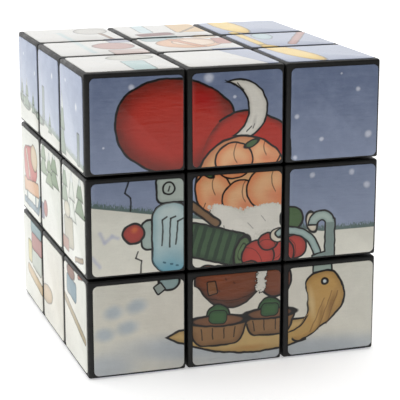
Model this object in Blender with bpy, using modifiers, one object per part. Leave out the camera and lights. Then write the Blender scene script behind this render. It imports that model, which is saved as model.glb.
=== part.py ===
"""A three-layer twisting picture cube, as it comes apart on a bench.

A core spider carries six sprung centres. Twelve edges hook their feet under the centres, and eight corners hook
theirs under the edges. Every piece is modelled round the middle of the cube, because all six turning axes pass
through it: inside one ball the pieces part at narrow planes, and outside it at the planes between the layers, so
each face can turn to any angle with nothing in its way.

Axes: +X right, +Y back, +Z up. The picture at the front faces -Y.
"""

import itertools
import math

import bmesh
import bpy
from mathutils import Matrix, Vector

MM = 0.001

# The cube as it is measured from outside
CUBE_SIDE = 57.0 * MM  # over the picture labels of two opposite faces
LABEL_THICKNESS = 0.15 * MM
LAYERS = 3

# Clearances
TURN_GAP = 0.4 * MM  # between pieces that slide past each other when a face turns
FIT_GAP = 0.3 * MM  # between pieces that sit together and stay together

# Cubie shells
WALL = 1.6 * MM
ROUNDING = 0.5 * MM  # the broken edges of a shell
SOCKET_RIM = 1.0 * MM  # plastic left round a corner's socket where it meets the ball

# Feet
CORNER_PEG = 2.6 * MM  # radius
EDGE_PEG = 3.5 * MM  # radius
PEG_ROOT = 3.0 * MM  # how deep a peg starts inside its foot
PEG_REACH = 2.5 * MM  # how far a peg stands into the hollow of its shell
FOOT_HOLLOW = 14.0 * MM  # radius of the empty ball inside all the feet

# Core, screws and springs
ARM_RADIUS = 3.0 * MM
ARM_REACH = 11.0 * MM  # from the middle of the cube to the tip of an arm
SCREW_SHANK = 1.3 * MM  # radius
SCREW_HEAD = 3.0 * MM  # radius
HEAD_HEIGHT = 2.0 * MM
HEAD_ROUNDING = 0.4 * MM
SCREW_BITE = 5.0 * MM  # length of the screw inside the arm
SCREW_POINT = 1.2 * MM
SPRING_LENGTH = 4.7 * MM  # between the hub's shoulder and the screw's head
SPRING_ROOM = 0.8 * MM  # between the screw's head and the wall of the hub

# Centre hubs and caps
STALK_WALL = 0.95 * MM
SHOULDER = 2.0 * MM  # the floor that the spring presses on
FLANGE = 2.2 * MM  # thickness of a hub's flange at the middle of its sides
CAP_HEADROOM = 1.6 * MM  # between the top of a hub and the lid of its cap

# How finely the round shapes are made
FINE_BALL = 3  # icosphere subdivisions
COARSE_BALL = 2
ROUND_SIDES = 16
OVERRUN = 1.0 * MM  # how far a cutter goes past what it cuts

# What follows from the sizes above
PITCH = CUBE_SIDE / LAYERS
HALF = CUBE_SIDE / 2 - LABEL_THICKNESS  # from the middle to the plastic of a face
MIDDLE_CELL = PITCH / 2 - TURN_GAP / 2  # half the width of a cubie in the middle layer
OUTER_CELL = PITCH / 2 + TURN_GAP / 2  # where a cubie of an outer layer starts
STALK = SCREW_HEAD + SPRING_ROOM + STALK_WALL  # half the width of a hub's stalk
FOOT_START = STALK + TURN_GAP  # where the feet and stalks of an outer layer start
CORNER_SOCKET = CORNER_PEG + FIT_GAP
EDGE_SOCKET = EDGE_PEG + FIT_GAP
# The smallest ball whose surface leaves the rim round the socket of a corner's shell
BALL = math.sqrt(3) * (OUTER_CELL + math.sqrt(2 / 3) * (CORNER_SOCKET + SOCKET_RIM))
FOOT_BALL = BALL - TURN_GAP
CORE_HALF = STALK - TURN_GAP / 2
SHOULDER_BASE = ARM_REACH + FIT_GAP
SPRING_SEAT = SHOULDER_BASE + SHOULDER
HEAD_BASE = SPRING_SEAT + SPRING_LENGTH
SCREW_TIP = ARM_REACH - SCREW_BITE
CAP_SEAT = math.sqrt(BALL**2 - MIDDLE_CELL**2) + FLANGE
BOSS = MIDDLE_CELL - WALL - FIT_GAP  # half the width of a hub inside its cap
BOSS_TOP = HALF - WALL - CAP_HEADROOM

UP = Vector((0, 0, 1))
CENTRE_HOME = (0, 0, 1)
EDGE_HOME = (0, 1, 1)
CORNER_HOME = (1, 1, 1)


def clear_scene():
    for obj in list(bpy.data.objects):
        bpy.data.objects.remove(obj, do_unlink=True)


def new_collection(name):
    collection = bpy.data.collections.new(name)
    bpy.context.scene.collection.children.link(collection)
    return collection


def move_to(obj, collection):
    for old in list(obj.users_collection):
        old.objects.unlink(obj)
    collection.objects.link(obj)


def plastic_or_metal(name, colour, roughness, metallic=0.0):
    material = bpy.data.materials.new(name)
    material.use_nodes = True
    shader = material.node_tree.nodes["Principled BSDF"]
    shader.inputs["Base Color"].default_value = (*colour, 1.0)
    shader.inputs["Roughness"].default_value = roughness
    shader.inputs["Metallic"].default_value = metallic
    return material


# ---------------------------------------------------------------- shapes


def helper(obj, name):
    """Marks a new shape as a pattern or a cutter, which is never drawn in a render."""
    obj.name = name
    obj.hide_render = True
    obj.display_type = "WIRE"
    move_to(obj, helpers)
    return obj


def box(name, low, high):
    low, high = Vector(low), Vector(high)
    bpy.ops.mesh.primitive_cube_add(size=1, location=(low + high) / 2)
    obj = bpy.context.object
    obj.scale = high - low
    bpy.ops.object.transform_apply(location=True, rotation=True, scale=True)
    return helper(obj, name)


def rounded_box(name, low, high):
    obj = box(name, low, high)
    bevel = obj.modifiers.new("broken edges", "BEVEL")
    bevel.width = ROUNDING
    bevel.segments = 1
    return obj


def rod(name, radius, direction, start, end):
    """A cylinder along a direction out of the middle of the cube, between two distances from it."""
    along = Vector(direction).normalized()
    bpy.ops.mesh.primitive_cylinder_add(
        vertices=ROUND_SIDES,
        radius=radius,
        depth=end - start,
        location=along * (start + end) / 2,
        rotation=UP.rotation_difference(along).to_euler(),
    )
    obj = bpy.context.object
    bpy.ops.object.transform_apply(location=True, rotation=True, scale=True)
    return helper(obj, name)


def ball(name, radius, subdivisions, flats_at_radius):
    """A faceted ball at the middle. Its corners lie at the radius, or its flats do, so that nothing dips inside."""
    bpy.ops.mesh.primitive_ico_sphere_add(subdivisions=subdivisions, radius=radius)
    obj = bpy.context.object
    if flats_at_radius:
        nearest = min(face.center.dot(face.normal) for face in obj.data.polygons)
        obj.data.transform(Matrix.Scale(radius / nearest, 4))
    return helper(obj, name)


def combine(obj, operation, other):
    modifier = obj.modifiers.new(f"{operation.lower()} {other.name}", "BOOLEAN")
    modifier.operation = operation
    modifier.solver = "EXACT"
    modifier.object = other
    return obj


def hollow(name, low, high):
    """The empty space inside a shell: its box less the walls, and less the ball with a wall round it."""
    inset = Vector((WALL, WALL, WALL))
    space = box(name, Vector(low) + inset, Vector(high) - inset)
    walled_ball = ball(f"{name}_ball", BALL + WALL, COARSE_BALL, flats_at_radius=True)
    return combine(space, "DIFFERENCE", walled_ball)


def shell(name, low, high, direction, socket):
    """A hollow cubie with a spherical underside, and a round socket there for the peg of its foot."""
    obj = rounded_box(name, low, high)
    combine(obj, "DIFFERENCE", ball(f"{name}_underside", BALL, FINE_BALL, flats_at_radius=True))
    combine(obj, "DIFFERENCE", hollow(f"{name}_hollow", low, high))
    reach = BALL + WALL + PEG_REACH + OVERRUN
    return combine(obj, "DIFFERENCE", rod(f"{name}_socket", socket, direction, FOOT_BALL - OVERRUN, reach))


def foot(name, low, high, direction, peg):
    """A block inside the ball that hooks under the neighbours, with a peg that stands up into its shell."""
    obj = box(name, low, high)
    combine(obj, "INTERSECT", ball(f"{name}_outside", FOOT_BALL, FINE_BALL, flats_at_radius=False))
    combine(obj, "DIFFERENCE", ball(f"{name}_inside", FOOT_HOLLOW, COARSE_BALL, flats_at_radius=True))
    reach = BALL + WALL + PEG_REACH
    return combine(obj, "UNION", rod(f"{name}_peg", peg, direction, FOOT_BALL - PEG_ROOT, reach))


# ---------------------------------------------------------------- the eight kinds of piece


def core_spider():
    """A small cube with six round arms, each with a blind hole for its screw."""
    obj = box("core_pattern", (-CORE_HALF,) * 3, (CORE_HALF,) * 3)
    axes = (1, 0, 0), (0, 1, 0), (0, 0, 1)
    for number, axis in enumerate(axes):
        combine(obj, "UNION", rod(f"core_arms_{number}", ARM_RADIUS, axis, -ARM_REACH, ARM_REACH))
    hole_end = SCREW_TIP - TURN_GAP
    for number, axis in enumerate(axes):
        for side in (1, -1):
            outward = Vector(axis) * side
            name = f"core_hole_{number}_{side}"
            hole = rod(name, SCREW_SHANK + FIT_GAP, outward, hole_end, ARM_REACH + OVERRUN)
            combine(obj, "DIFFERENCE", hole)
    return obj


def centre_hub():
    """A square stalk over an arm, and a flange outside the ball that holds down the feet of four edges."""
    middle = MIDDLE_CELL
    obj = box("hub_pattern", (-middle, -middle, STALK), (middle, middle, CAP_SEAT))
    boss = box("hub_boss", (-BOSS, -BOSS, STALK), (BOSS, BOSS, BOSS_TOP))
    combine(obj, "UNION", boss)
    combine(obj, "DIFFERENCE", ball("hub_underside", BALL, FINE_BALL, flats_at_radius=True))
    stalk = box("hub_stalk", (-STALK, -STALK, FOOT_START), (STALK, STALK, BOSS_TOP - OVERRUN))
    combine(obj, "UNION", stalk)
    bores = (
        ("hub_arm_bore", ARM_RADIUS + FIT_GAP, FOOT_START - OVERRUN, SHOULDER_BASE),
        ("hub_screw_hole", SCREW_SHANK + FIT_GAP, SHOULDER_BASE - OVERRUN, SPRING_SEAT + OVERRUN),
        ("hub_spring_bore", SCREW_HEAD + SPRING_ROOM, SPRING_SEAT, BOSS_TOP + OVERRUN),
    )
    for name, radius, start, end in bores:
        combine(obj, "DIFFERENCE", rod(name, radius, CENTRE_HOME, start, end))
    return obj


def centre_cap():
    """The square lid that hides the screw. Its skirt fits round the top of the hub."""
    middle = MIDDLE_CELL
    inside = MIDDLE_CELL - WALL
    bottom = CAP_SEAT + FIT_GAP
    obj = rounded_box("cap_pattern", (-middle, -middle, bottom), (middle, middle, HALF))
    space = box("cap_hollow", (-inside, -inside, bottom - OVERRUN), (inside, inside, HALF - WALL))
    return combine(obj, "DIFFERENCE", space)


def centre_screw():
    """A turned screw: head, shank and point, from the head down."""
    head_top = HEAD_BASE + HEAD_HEIGHT
    profile = (
        (0, head_top),
        (SCREW_HEAD - HEAD_ROUNDING, head_top),
        (SCREW_HEAD, head_top - HEAD_ROUNDING),
        (SCREW_HEAD, HEAD_BASE),
        (SCREW_SHANK, HEAD_BASE),
        (SCREW_SHANK, SCREW_TIP + SCREW_POINT),
        (0, SCREW_TIP),
    )
    mesh = bpy.data.meshes.new("screw_profile")
    steps = range(len(profile) - 1)
    mesh.from_pydata([(radius, 0, height) for radius, height in profile], [(n, n + 1) for n in steps], [])
    obj = bpy.data.objects.new("screw_pattern", mesh)
    bpy.context.scene.collection.objects.link(obj)
    turned = obj.modifiers.new("turned", "SCREW")
    turned.steps = ROUND_SIDES
    turned.render_steps = ROUND_SIDES
    turned.use_merge_vertices = True
    turned.merge_threshold = 0.00001
    return helper(obj, "screw_pattern")


def edge_shell():
    low = (-MIDDLE_CELL, OUTER_CELL, OUTER_CELL)
    high = (MIDDLE_CELL, HALF, HALF)
    return shell("edge_shell_pattern", low, high, EDGE_HOME, EDGE_SOCKET)


def edge_foot():
    low = (-STALK, FOOT_START, FOOT_START)
    high = (STALK, FOOT_BALL, FOOT_BALL)
    return foot("edge_foot_pattern", low, high, EDGE_HOME, EDGE_PEG)


def corner_shell():
    return shell("corner_shell_pattern", (OUTER_CELL,) * 3, (HALF,) * 3, CORNER_HOME, CORNER_SOCKET)


def corner_foot():
    return foot("corner_foot_pattern", (FOOT_START,) * 3, (FOOT_BALL,) * 3, CORNER_HOME, CORNER_PEG)


# ---------------------------------------------------------------- placing the copies


def finished_mesh(pattern, material):
    """The pattern with its modifiers applied, as one welded mesh that its copies share."""
    graph = bpy.context.evaluated_depsgraph_get()
    mesh = bpy.data.meshes.new_from_object(pattern.evaluated_get(graph))
    mesh.name = pattern.name.replace("_pattern", "")
    welded = bmesh.new()
    welded.from_mesh(mesh)
    bmesh.ops.remove_doubles(welded, verts=welded.verts, dist=0.000001)
    bmesh.ops.recalc_face_normals(welded, faces=welded.faces)
    welded.to_mesh(mesh)
    welded.free()
    mesh.materials.clear()
    mesh.materials.append(material)
    mesh.shade_smooth()
    mesh.set_sharp_from_angle(angle=math.radians(30))
    return mesh


def cube_rotations():
    """The 24 turns that put a cube back on itself."""
    for order in itertools.permutations(range(3)):
        for signs in itertools.product((1, -1), repeat=3):
            turn = Matrix.Diagonal(signs).to_3x3() @ Matrix([Matrix.Identity(3)[n] for n in order])
            if turn.determinant() > 0:
                yield turn


def turn_to(home, cell):
    """The turn that carries a piece modelled at its home cell to another cell."""
    return next(turn for turn in cube_rotations() if tuple(round(c) for c in turn @ Vector(home)) == cell)


def place_name(cell):
    """The plain name of a cell, such as top_front_left."""
    x, y, z = cell
    words = ({1: "top", -1: "bottom"}.get(z), {1: "back", -1: "front"}.get(y), {1: "right", -1: "left"}.get(x))
    return "_".join(word for word in words if word)


def cells_like(home):
    """Every cell of the same kind as the home cell: centres, edges or corners."""
    kind = sum(map(abs, home))
    return [cell for cell in itertools.product((-1, 0, 1), repeat=3) if sum(map(abs, cell)) == kind]


def place_copies(kind, mesh, home):
    for cell in cells_like(home):
        obj = bpy.data.objects.new(f"{kind}_{place_name(cell)}", mesh)
        obj.rotation_euler = turn_to(home, cell).to_euler()
        parts.objects.link(obj)


clear_scene()
parts = new_collection("picture_cube")
helpers = new_collection("cutters")

shell_plastic = plastic_or_metal("shell_plastic", (0.022, 0.022, 0.024), 0.38)
inner_plastic = plastic_or_metal("inner_plastic", (0.035, 0.036, 0.040), 0.50)
core_plastic = plastic_or_metal("core_plastic", (0.72, 0.70, 0.65), 0.45)
screw_steel = plastic_or_metal("screw_steel", (0.62, 0.62, 0.60), 0.30, metallic=1.0)

core = bpy.data.objects.new("core_spider", finished_mesh(core_spider(), core_plastic))
parts.objects.link(core)
place_copies("centre_hub", finished_mesh(centre_hub(), inner_plastic), CENTRE_HOME)
place_copies("centre_cap", finished_mesh(centre_cap(), shell_plastic), CENTRE_HOME)
place_copies("centre_screw", finished_mesh(centre_screw(), screw_steel), CENTRE_HOME)
place_copies("edge_shell", finished_mesh(edge_shell(), shell_plastic), EDGE_HOME)
place_copies("edge_foot", finished_mesh(edge_foot(), inner_plastic), EDGE_HOME)
place_copies("corner_shell", finished_mesh(corner_shell(), shell_plastic), CORNER_HOME)
place_copies("corner_foot", finished_mesh(corner_foot(), inner_plastic), CORNER_HOME)
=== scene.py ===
# %% [markdown]
# # A twisting cube with winter pictures
# The cube is 57 mm over its labels. Inside, the core, hubs and feet come from the CAD model as they are,
# and each screw gets a thread, a spring and a washer. Outside, each black cubie gets a finer shell, and 54
# thin vinyl labels carry the pictures. The CAD model is loaded first, because every new piece takes its
# place and its motion from it.

# %% Load the CAD model
import itertools
import math
import random

import bpy
from mathutils import Matrix, Vector


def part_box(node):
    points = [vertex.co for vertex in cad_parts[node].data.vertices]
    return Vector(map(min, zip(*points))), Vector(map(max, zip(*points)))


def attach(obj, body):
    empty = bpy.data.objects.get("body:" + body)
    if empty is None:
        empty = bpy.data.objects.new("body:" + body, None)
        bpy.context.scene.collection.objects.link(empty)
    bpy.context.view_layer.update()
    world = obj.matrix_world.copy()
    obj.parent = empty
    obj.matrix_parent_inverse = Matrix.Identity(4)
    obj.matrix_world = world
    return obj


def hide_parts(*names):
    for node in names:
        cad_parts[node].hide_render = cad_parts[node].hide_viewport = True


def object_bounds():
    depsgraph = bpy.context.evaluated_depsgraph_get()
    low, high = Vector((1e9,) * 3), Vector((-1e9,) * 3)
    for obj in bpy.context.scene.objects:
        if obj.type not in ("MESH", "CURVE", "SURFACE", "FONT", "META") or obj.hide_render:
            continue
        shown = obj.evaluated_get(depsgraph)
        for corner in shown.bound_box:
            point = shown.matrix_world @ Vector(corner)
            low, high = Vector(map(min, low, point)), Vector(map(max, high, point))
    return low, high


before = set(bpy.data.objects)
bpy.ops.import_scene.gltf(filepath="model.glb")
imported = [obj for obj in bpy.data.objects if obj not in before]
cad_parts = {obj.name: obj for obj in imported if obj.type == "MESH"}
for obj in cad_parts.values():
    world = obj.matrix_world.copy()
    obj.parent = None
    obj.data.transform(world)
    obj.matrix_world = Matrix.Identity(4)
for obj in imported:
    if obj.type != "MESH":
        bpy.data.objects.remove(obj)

MM = 0.001
cad_low, cad_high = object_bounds()
MIDDLE = (cad_low + cad_high) / 2
HALF = (cad_high.x - cad_low.x) / 2  # from the middle of the cube to the plastic of a face
print("plastic cube in mm:", [round(side / MM, 2) for side in cad_high - cad_low])

# %% [markdown]
# ## Camera
# The view is a long lens from the left and a little above, so the front is nearly square on and the two
# other faces are seen at a flat angle. A camera looks along its own -Z, so its turn comes from the
# direction to a target.

# %% Place the camera
CAMERA_TURN = math.radians(17.99)
CAMERA_HEIGHT = math.radians(14.15)
CAMERA_DISTANCE = 311.3 * MM
CAMERA_TARGET = MIDDLE + Vector((2.3, 0, -3.5)) * MM
CAMERA_FIELD = math.radians(14.84)

level = math.cos(CAMERA_HEIGHT)
to_target = Vector((math.sin(CAMERA_TURN) * level, math.cos(CAMERA_TURN) * level, -math.sin(CAMERA_HEIGHT)))
bpy.ops.object.camera_add(location=CAMERA_TARGET - to_target * CAMERA_DISTANCE)
camera = bpy.context.object
camera.rotation_euler = to_target.to_track_quat("-Z", "Y").to_euler()
camera.data.angle = CAMERA_FIELD
camera.data.clip_start = 0.01
bpy.context.scene.camera = camera
print("camera at", [round(place / MM) for place in camera.location], "mm")

# %% [markdown]
# ## Floor and light
# The cube stands on a light table in a light tent. The table is a white sheet that also glows a little from
# below, which keeps the background white. The tent is the world behind everything: bright above, behind and
# to the left, and dim in front, on the camera's own side. A world is a sphere of directions, so its
# brightness can be a ramp along one of them.

# %% Lay the floor
FLOOR_SIDE = 8.0
SHEET_WHITE = (0.93, 0.93, 0.93, 1)
TABLE_GLOW = 0.44
FLOOR_DROP = 0.17 * MM  # a label, and a hair of air under it

bpy.ops.object.select_all(action="DESELECT")
bpy.ops.mesh.primitive_plane_add(size=FLOOR_SIDE, location=(MIDDLE.x, MIDDLE.y, cad_low.z - FLOOR_DROP))
floor = bpy.context.object
floor.name = "floor_sheet"
sheet_white = bpy.data.materials.new("sheet_white")
sheet_white.use_nodes = True
sheet_sockets = sheet_white.node_tree.nodes["Principled BSDF"].inputs
sheet_sockets["Base Color"].default_value = SHEET_WHITE
sheet_sockets["Roughness"].default_value = 0.9
sheet_sockets["Specular IOR Level"].default_value = 0.2
sheet_sockets["Emission Color"].default_value = (1, 1, 1, 1)
sheet_sockets["Emission Strength"].default_value = TABLE_GLOW
floor.data.materials.append(sheet_white)
print("floor", round(FLOOR_DROP / MM, 2), "mm under the plastic")

# %% Light the tent
TENT_BRIGHT_SIDE = Vector((-0.10, 0.85, 0.50)).normalized()
TENT_DIM, TENT_BRIGHT = 0.06, 1.34
TENT_START, TENT_END = -0.3, 0.6  # where the ramp starts and ends, from -1 away to 1 towards that side

world = bpy.data.worlds.new("light_tent")
bpy.context.scene.world = world
world.use_nodes = True
tent = world.node_tree
direction = tent.nodes.new("ShaderNodeTexCoord").outputs["Generated"]
along = tent.nodes.new("ShaderNodeVectorMath")
along.operation = "DOT_PRODUCT"
along.inputs[1].default_value = TENT_BRIGHT_SIDE
ramp = tent.nodes.new("ShaderNodeMapRange")
ramp.interpolation_type = "SMOOTHSTEP"
TENT_RAMP = {"From Min": TENT_START, "From Max": TENT_END, "To Min": TENT_DIM, "To Max": TENT_BRIGHT}
for name, value in TENT_RAMP.items():
    ramp.inputs[name].default_value = value
tent.links.new(direction, along.inputs[0])
tent.links.new(along.outputs["Value"], ramp.inputs["Value"])
tent.links.new(ramp.outputs["Result"], tent.nodes["Background"].inputs["Strength"])
tent.nodes["Background"].inputs["Color"].default_value = (1, 1, 1, 1)
bpy.context.scene.view_settings.view_transform = "Standard"
print("tent from", TENT_DIM, "to", TENT_BRIGHT)

# %% [markdown]
# ## Shader maths
# Node trees are easier to read as sums. One small class wraps a node's output, and Python's own operators
# on it add the Math nodes. A second class holds a material's tree, and makes any other node with one
# method.

# %% Wrap an output and a tree
LENGTHS = ("LENGTH", "DISTANCE", "DOT_PRODUCT")


class Value:
    """One output of a shader node."""

    def __init__(self, graph, socket):
        self.graph, self.socket = graph, socket

    def math(self, operation, *others):
        return self.graph.node("Math", {"operation": operation}, dict(enumerate((self, *others))))

    def vector(self, operation, *others):
        answer = "Value" if operation in LENGTHS else "Vector"
        return self.graph.node(
            "VectorMath", {"operation": operation}, dict(enumerate((self, *others))), answer
        )

    def smooth(self, start, end, low=0.0, high=1.0):
        """Goes softly from low to high as this value goes from start to end."""
        ends = {"Value": self, "From Min": start, "From Max": end, "To Min": low, "To Max": high}
        return self.graph.node("MapRange", {"interpolation_type": "SMOOTHSTEP", "clamp": False}, ends)

    def __add__(self, other):
        return self.math("ADD", other)

    def __sub__(self, other):
        return self.math("SUBTRACT", other)

    def __rsub__(self, other):
        return self.graph.node("Math", {"operation": "SUBTRACT"}, {0: other, 1: self})

    def __mul__(self, other):
        return self.math("MULTIPLY", other)

    def __abs__(self):
        return self.math("ABSOLUTE")

    def __neg__(self):
        return self * -1

    __radd__ = __add__
    __rmul__ = __mul__


class Graph:
    """A material and its nodes."""

    def __init__(self, name):
        self.material = bpy.data.materials.new(name)
        self.material.use_nodes = True
        self.tree = self.material.node_tree
        self.shader = self.tree.nodes["Principled BSDF"]
        self.coordinates = self.tree.nodes.new("ShaderNodeTexCoord")

    def node(self, kind, settings, inputs, output=0):
        made = self.tree.nodes.new("ShaderNode" + kind)
        for name, value in settings.items():
            if name == "points":
                curve = made.mapping.curves[0]
                curve.points[0].location, curve.points[1].location = value[0], value[-1]
                for point in value[1:-1]:
                    curve.points.new(*point)
                made.mapping.update()
            else:
                setattr(made, name, value)
        for name, value in inputs.items():
            if isinstance(value, Value):
                self.tree.links.new(value.socket, made.inputs[name])
            else:
                made.inputs[name].default_value = value
        return Value(self, made.outputs[output])

    def at(self, kind="Object"):
        return Value(self, self.coordinates.outputs[kind])

    def noise(self, place, scale, detail=2.0, roughness=0.5, output="Fac"):
        knobs = {"Vector": place, "Scale": scale, "Detail": detail, "Roughness": roughness}
        return self.node("TexNoise", {}, knobs, output)

    def mix(self, share, first, second):
        """Colours: the first where the share is 0, the second where it is 1."""
        return self.node("Mix", {"data_type": "RGBA"}, {0: share, 6: first, 7: second}, 2)

    def bump(self, height, strength, distance):
        return self.node("Bump", {}, {"Height": height, "Strength": strength, "Distance": distance}, "Normal")

    def finish(self, **sockets):
        """Links or sets the shader's own sockets, such as Base_Color."""
        for name, value in sockets.items():
            socket = self.shader.inputs[name.replace("_", " ")]
            if isinstance(value, Value):
                self.tree.links.new(value.socket, socket)
            else:
                socket.default_value = value
        return self.material


def paint(code):
    """A shader's colour from a paint chart's code, such as #c9a96f."""
    shares = [int(code[place:place + 2], 16) / 255 for place in (1, 3, 5)]
    return (*(c / 12.92 if c <= 0.04045 else ((c + 0.055) / 1.055) ** 2.4 for c in shares), 1.0)


print("a mid grey is", round(paint("#808080")[0], 3), "to a shader")

# %% [markdown]
# ## Black moulded plastic
# Cubies are moulded in black plastic with a fine spark-eroded grain. Handling polishes and greys the edges
# first. The distance to the nearest edge comes from the place alone: on a face one of the three coordinates
# is at its limit, so the middle one of the three distances to a cubie's boundary is the distance to its
# nearest edge.

# %% Make the plastic
HALF_MM = HALF / MM
SEAM = 9.5  # mm from the middle of the cube to the seam between two layers


def edge_distance(graph, place):
    """How far a point on a cubie is from the cubie's nearest edge, in mm."""
    size = graph.node("SeparateXYZ", {}, {0: place.vector("ABSOLUTE")}, 0)
    separate = size.socket.node
    gaps = []
    for axis in range(3):
        along_axis = Value(graph, separate.outputs[axis])
        gaps.append(abs(along_axis - HALF_MM).math("MINIMUM", abs(along_axis - SEAM)))
    x, y, z = gaps
    return x.math("MINIMUM", y).math("MAXIMUM", x.math("MAXIMUM", y).math("MINIMUM", z))


def moulded_plastic(name, dark, pale, roughness, grain):
    graph = Graph(name)
    place = graph.at().vector("MULTIPLY", (1 / MM,) * 3)
    cloud = graph.noise(place, 0.25, 3.0)
    speck = graph.noise(place, 7.0, 3.0, 0.6)
    scuffs = graph.noise(place.vector("MULTIPLY", (1.0, 0.25, 2.0)), 2.2, 4.0, 0.65)
    worn = edge_distance(graph, place).smooth(0.75, 0.05) * graph.noise(
        place, 1.4, 3.0, 0.6
    ).smooth(0.38, 0.66)
    shade = graph.mix(
        cloud.smooth(0.3, 0.7) * 0.6 + speck.smooth(0.45, 0.75) * 0.35, paint(dark), paint(pale)
    )
    shade = graph.mix(worn * 0.16, shade, paint("#4a4a47"))
    shade = graph.mix(scuffs.smooth(0.66, 0.80) * 0.06, shade, paint("#8a8a86"))
    rough = cloud.smooth(0.3, 0.7, roughness - 0.05, roughness + 0.06) + speck * 0.08 - worn * 0.12
    graph.finish(Specular_IOR_Level=0.34)
    return graph.finish(Base_Color=shade, Roughness=rough, Normal=graph.bump(speck, 0.35, grain * MM))


shell_plastic = moulded_plastic("moulded_shell", "#0e0e0d", "#181716", 0.46, 0.030)
inner_plastic = moulded_plastic("moulded_inner", "#161617", "#222223", 0.50, 0.022)
print("plastics:", shell_plastic.name, inner_plastic.name)

# %% [markdown]
# ## Finer shells
# A cubie's shell is a hollow block with softened edges, a spherical underside that the feet swing past, and
# a round socket for the peg of its foot. One corner and one edge are modelled: a block is bevelled in edit
# mode, then a ball, a smaller block and a rod are taken out of it. Turned copies fill the other places.

# %% Modelling helpers
BALL = 22.32 * MM  # the round room in the middle, in which the feet swing
WALL = 1.6 * MM
ROUNDING = 0.42 * MM
PEG_ROOM = 4.1 * MM  # how far a socket goes past the ball
CORNER_SOCKET, EDGE_SOCKET = 2.9 * MM, 3.8 * MM  # radii of the sockets for the feet's pegs
SMOOTH_BELOW = math.radians(32)


def start_shape():
    if bpy.context.object and bpy.context.object.mode != "OBJECT":
        bpy.ops.object.mode_set(mode="OBJECT")
    bpy.ops.object.select_all(action="DESELECT")


def named(name):
    """Freezes the turn and size of the active object into its mesh, and names it."""
    obj = bpy.context.object
    bpy.ops.object.transform_apply(location=True, rotation=True, scale=True)
    obj.name = obj.data.name = name
    return obj


def block(name, low, high):
    start_shape()
    low, high = Vector(low), Vector(high)
    bpy.ops.mesh.primitive_cube_add(size=1, location=(low + high) / 2, scale=high - low)
    return named(name)


def rod(name, radius, along, start, end, sides=32):
    """A cylinder along a direction out of the middle of the cube."""
    start_shape()
    along = Vector(along).normalized()
    turn = Vector((0, 0, 1)).rotation_difference(along).to_euler()
    middle = along * (start + end) / 2
    bpy.ops.mesh.primitive_cylinder_add(
        vertices=sides, radius=radius, depth=end - start, location=middle, rotation=turn
    )
    return named(name)


def ball(name, radius):
    start_shape()
    bpy.ops.mesh.primitive_uv_sphere_add(segments=64, ring_count=32, radius=radius)
    return named(name)


def soften(obj, width, segments, chosen=None):
    """Bevels every edge in edit mode, or only the chosen ones."""
    start_shape()
    bpy.context.view_layer.objects.active = obj
    obj.select_set(True)
    bpy.ops.object.mode_set(mode="EDIT")
    bpy.ops.mesh.select_all(action="DESELECT")
    bpy.ops.mesh.select_mode(type="EDGE")
    bpy.ops.object.mode_set(mode="OBJECT")
    for edge in obj.data.edges:
        ends = [obj.data.vertices[number].co for number in edge.vertices]
        edge.select = chosen is None or chosen(*ends)
    bpy.ops.object.mode_set(mode="EDIT")
    bpy.ops.mesh.bevel(offset=width, segments=segments, profile=0.5)
    bpy.ops.object.mode_set(mode="OBJECT")
    return obj


def cut(obj, operation, tool):
    """Takes the tool out of obj, or joins it on, and throws the tool away."""
    start_shape()
    bpy.context.view_layer.objects.active = obj
    modifier = obj.modifiers.new(operation.lower(), "BOOLEAN")
    modifier.operation, modifier.solver, modifier.object = operation, "EXACT", tool
    bpy.ops.object.modifier_apply(modifier=modifier.name)
    bpy.data.objects.remove(tool, do_unlink=True)
    return obj


def tidy(obj, material):
    """Welds, points the faces outwards, smooths the round parts and gives the first material."""
    start_shape()
    bpy.context.view_layer.objects.active = obj
    obj.select_set(True)
    bpy.ops.object.mode_set(mode="EDIT")
    bpy.ops.mesh.select_all(action="SELECT")
    bpy.ops.mesh.remove_doubles(threshold=0.000002)
    bpy.ops.mesh.normals_make_consistent(inside=False)
    bpy.ops.object.mode_set(mode="OBJECT")
    bpy.ops.object.shade_smooth_by_angle(angle=SMOOTH_BELOW)
    obj.data.materials.clear()
    obj.data.materials.append(material)
    return obj


print("modelling helpers are ready")

# %% Model one corner shell and one edge shell
def hollow_shell(name, node, along, socket_radius):
    low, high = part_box(node)
    shell = soften(block(name, low, high), ROUNDING, 3)
    cut(shell, "DIFFERENCE", ball("underside", BALL))
    wall = Vector((WALL,) * 3)
    space = cut(block("space", low + wall, high - wall), "DIFFERENCE", ball("dome", BALL + WALL))
    cut(shell, "DIFFERENCE", space)
    cut(shell, "DIFFERENCE", rod("socket", socket_radius, along, BALL - WALL, BALL + PEG_ROOM))
    return tidy(shell, shell_plastic)


corner_pattern = hollow_shell("corner_pattern", "corner_shell_top_back_right", (1, 1, 1), CORNER_SOCKET)
edge_pattern = hollow_shell("edge_pattern", "edge_shell_top_back", (0, 1, 1), EDGE_SOCKET)
for pattern in (corner_pattern, edge_pattern):
    print(pattern.name, len(pattern.data.polygons), "faces")

# %% [markdown]
# ## Centre cap
# The middle of each face is a square lid that hides the screw. It is a tray turned over: a block whose
# lower face is inset by the wall and pushed up inside, which is how a lid is drawn by hand.

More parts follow.
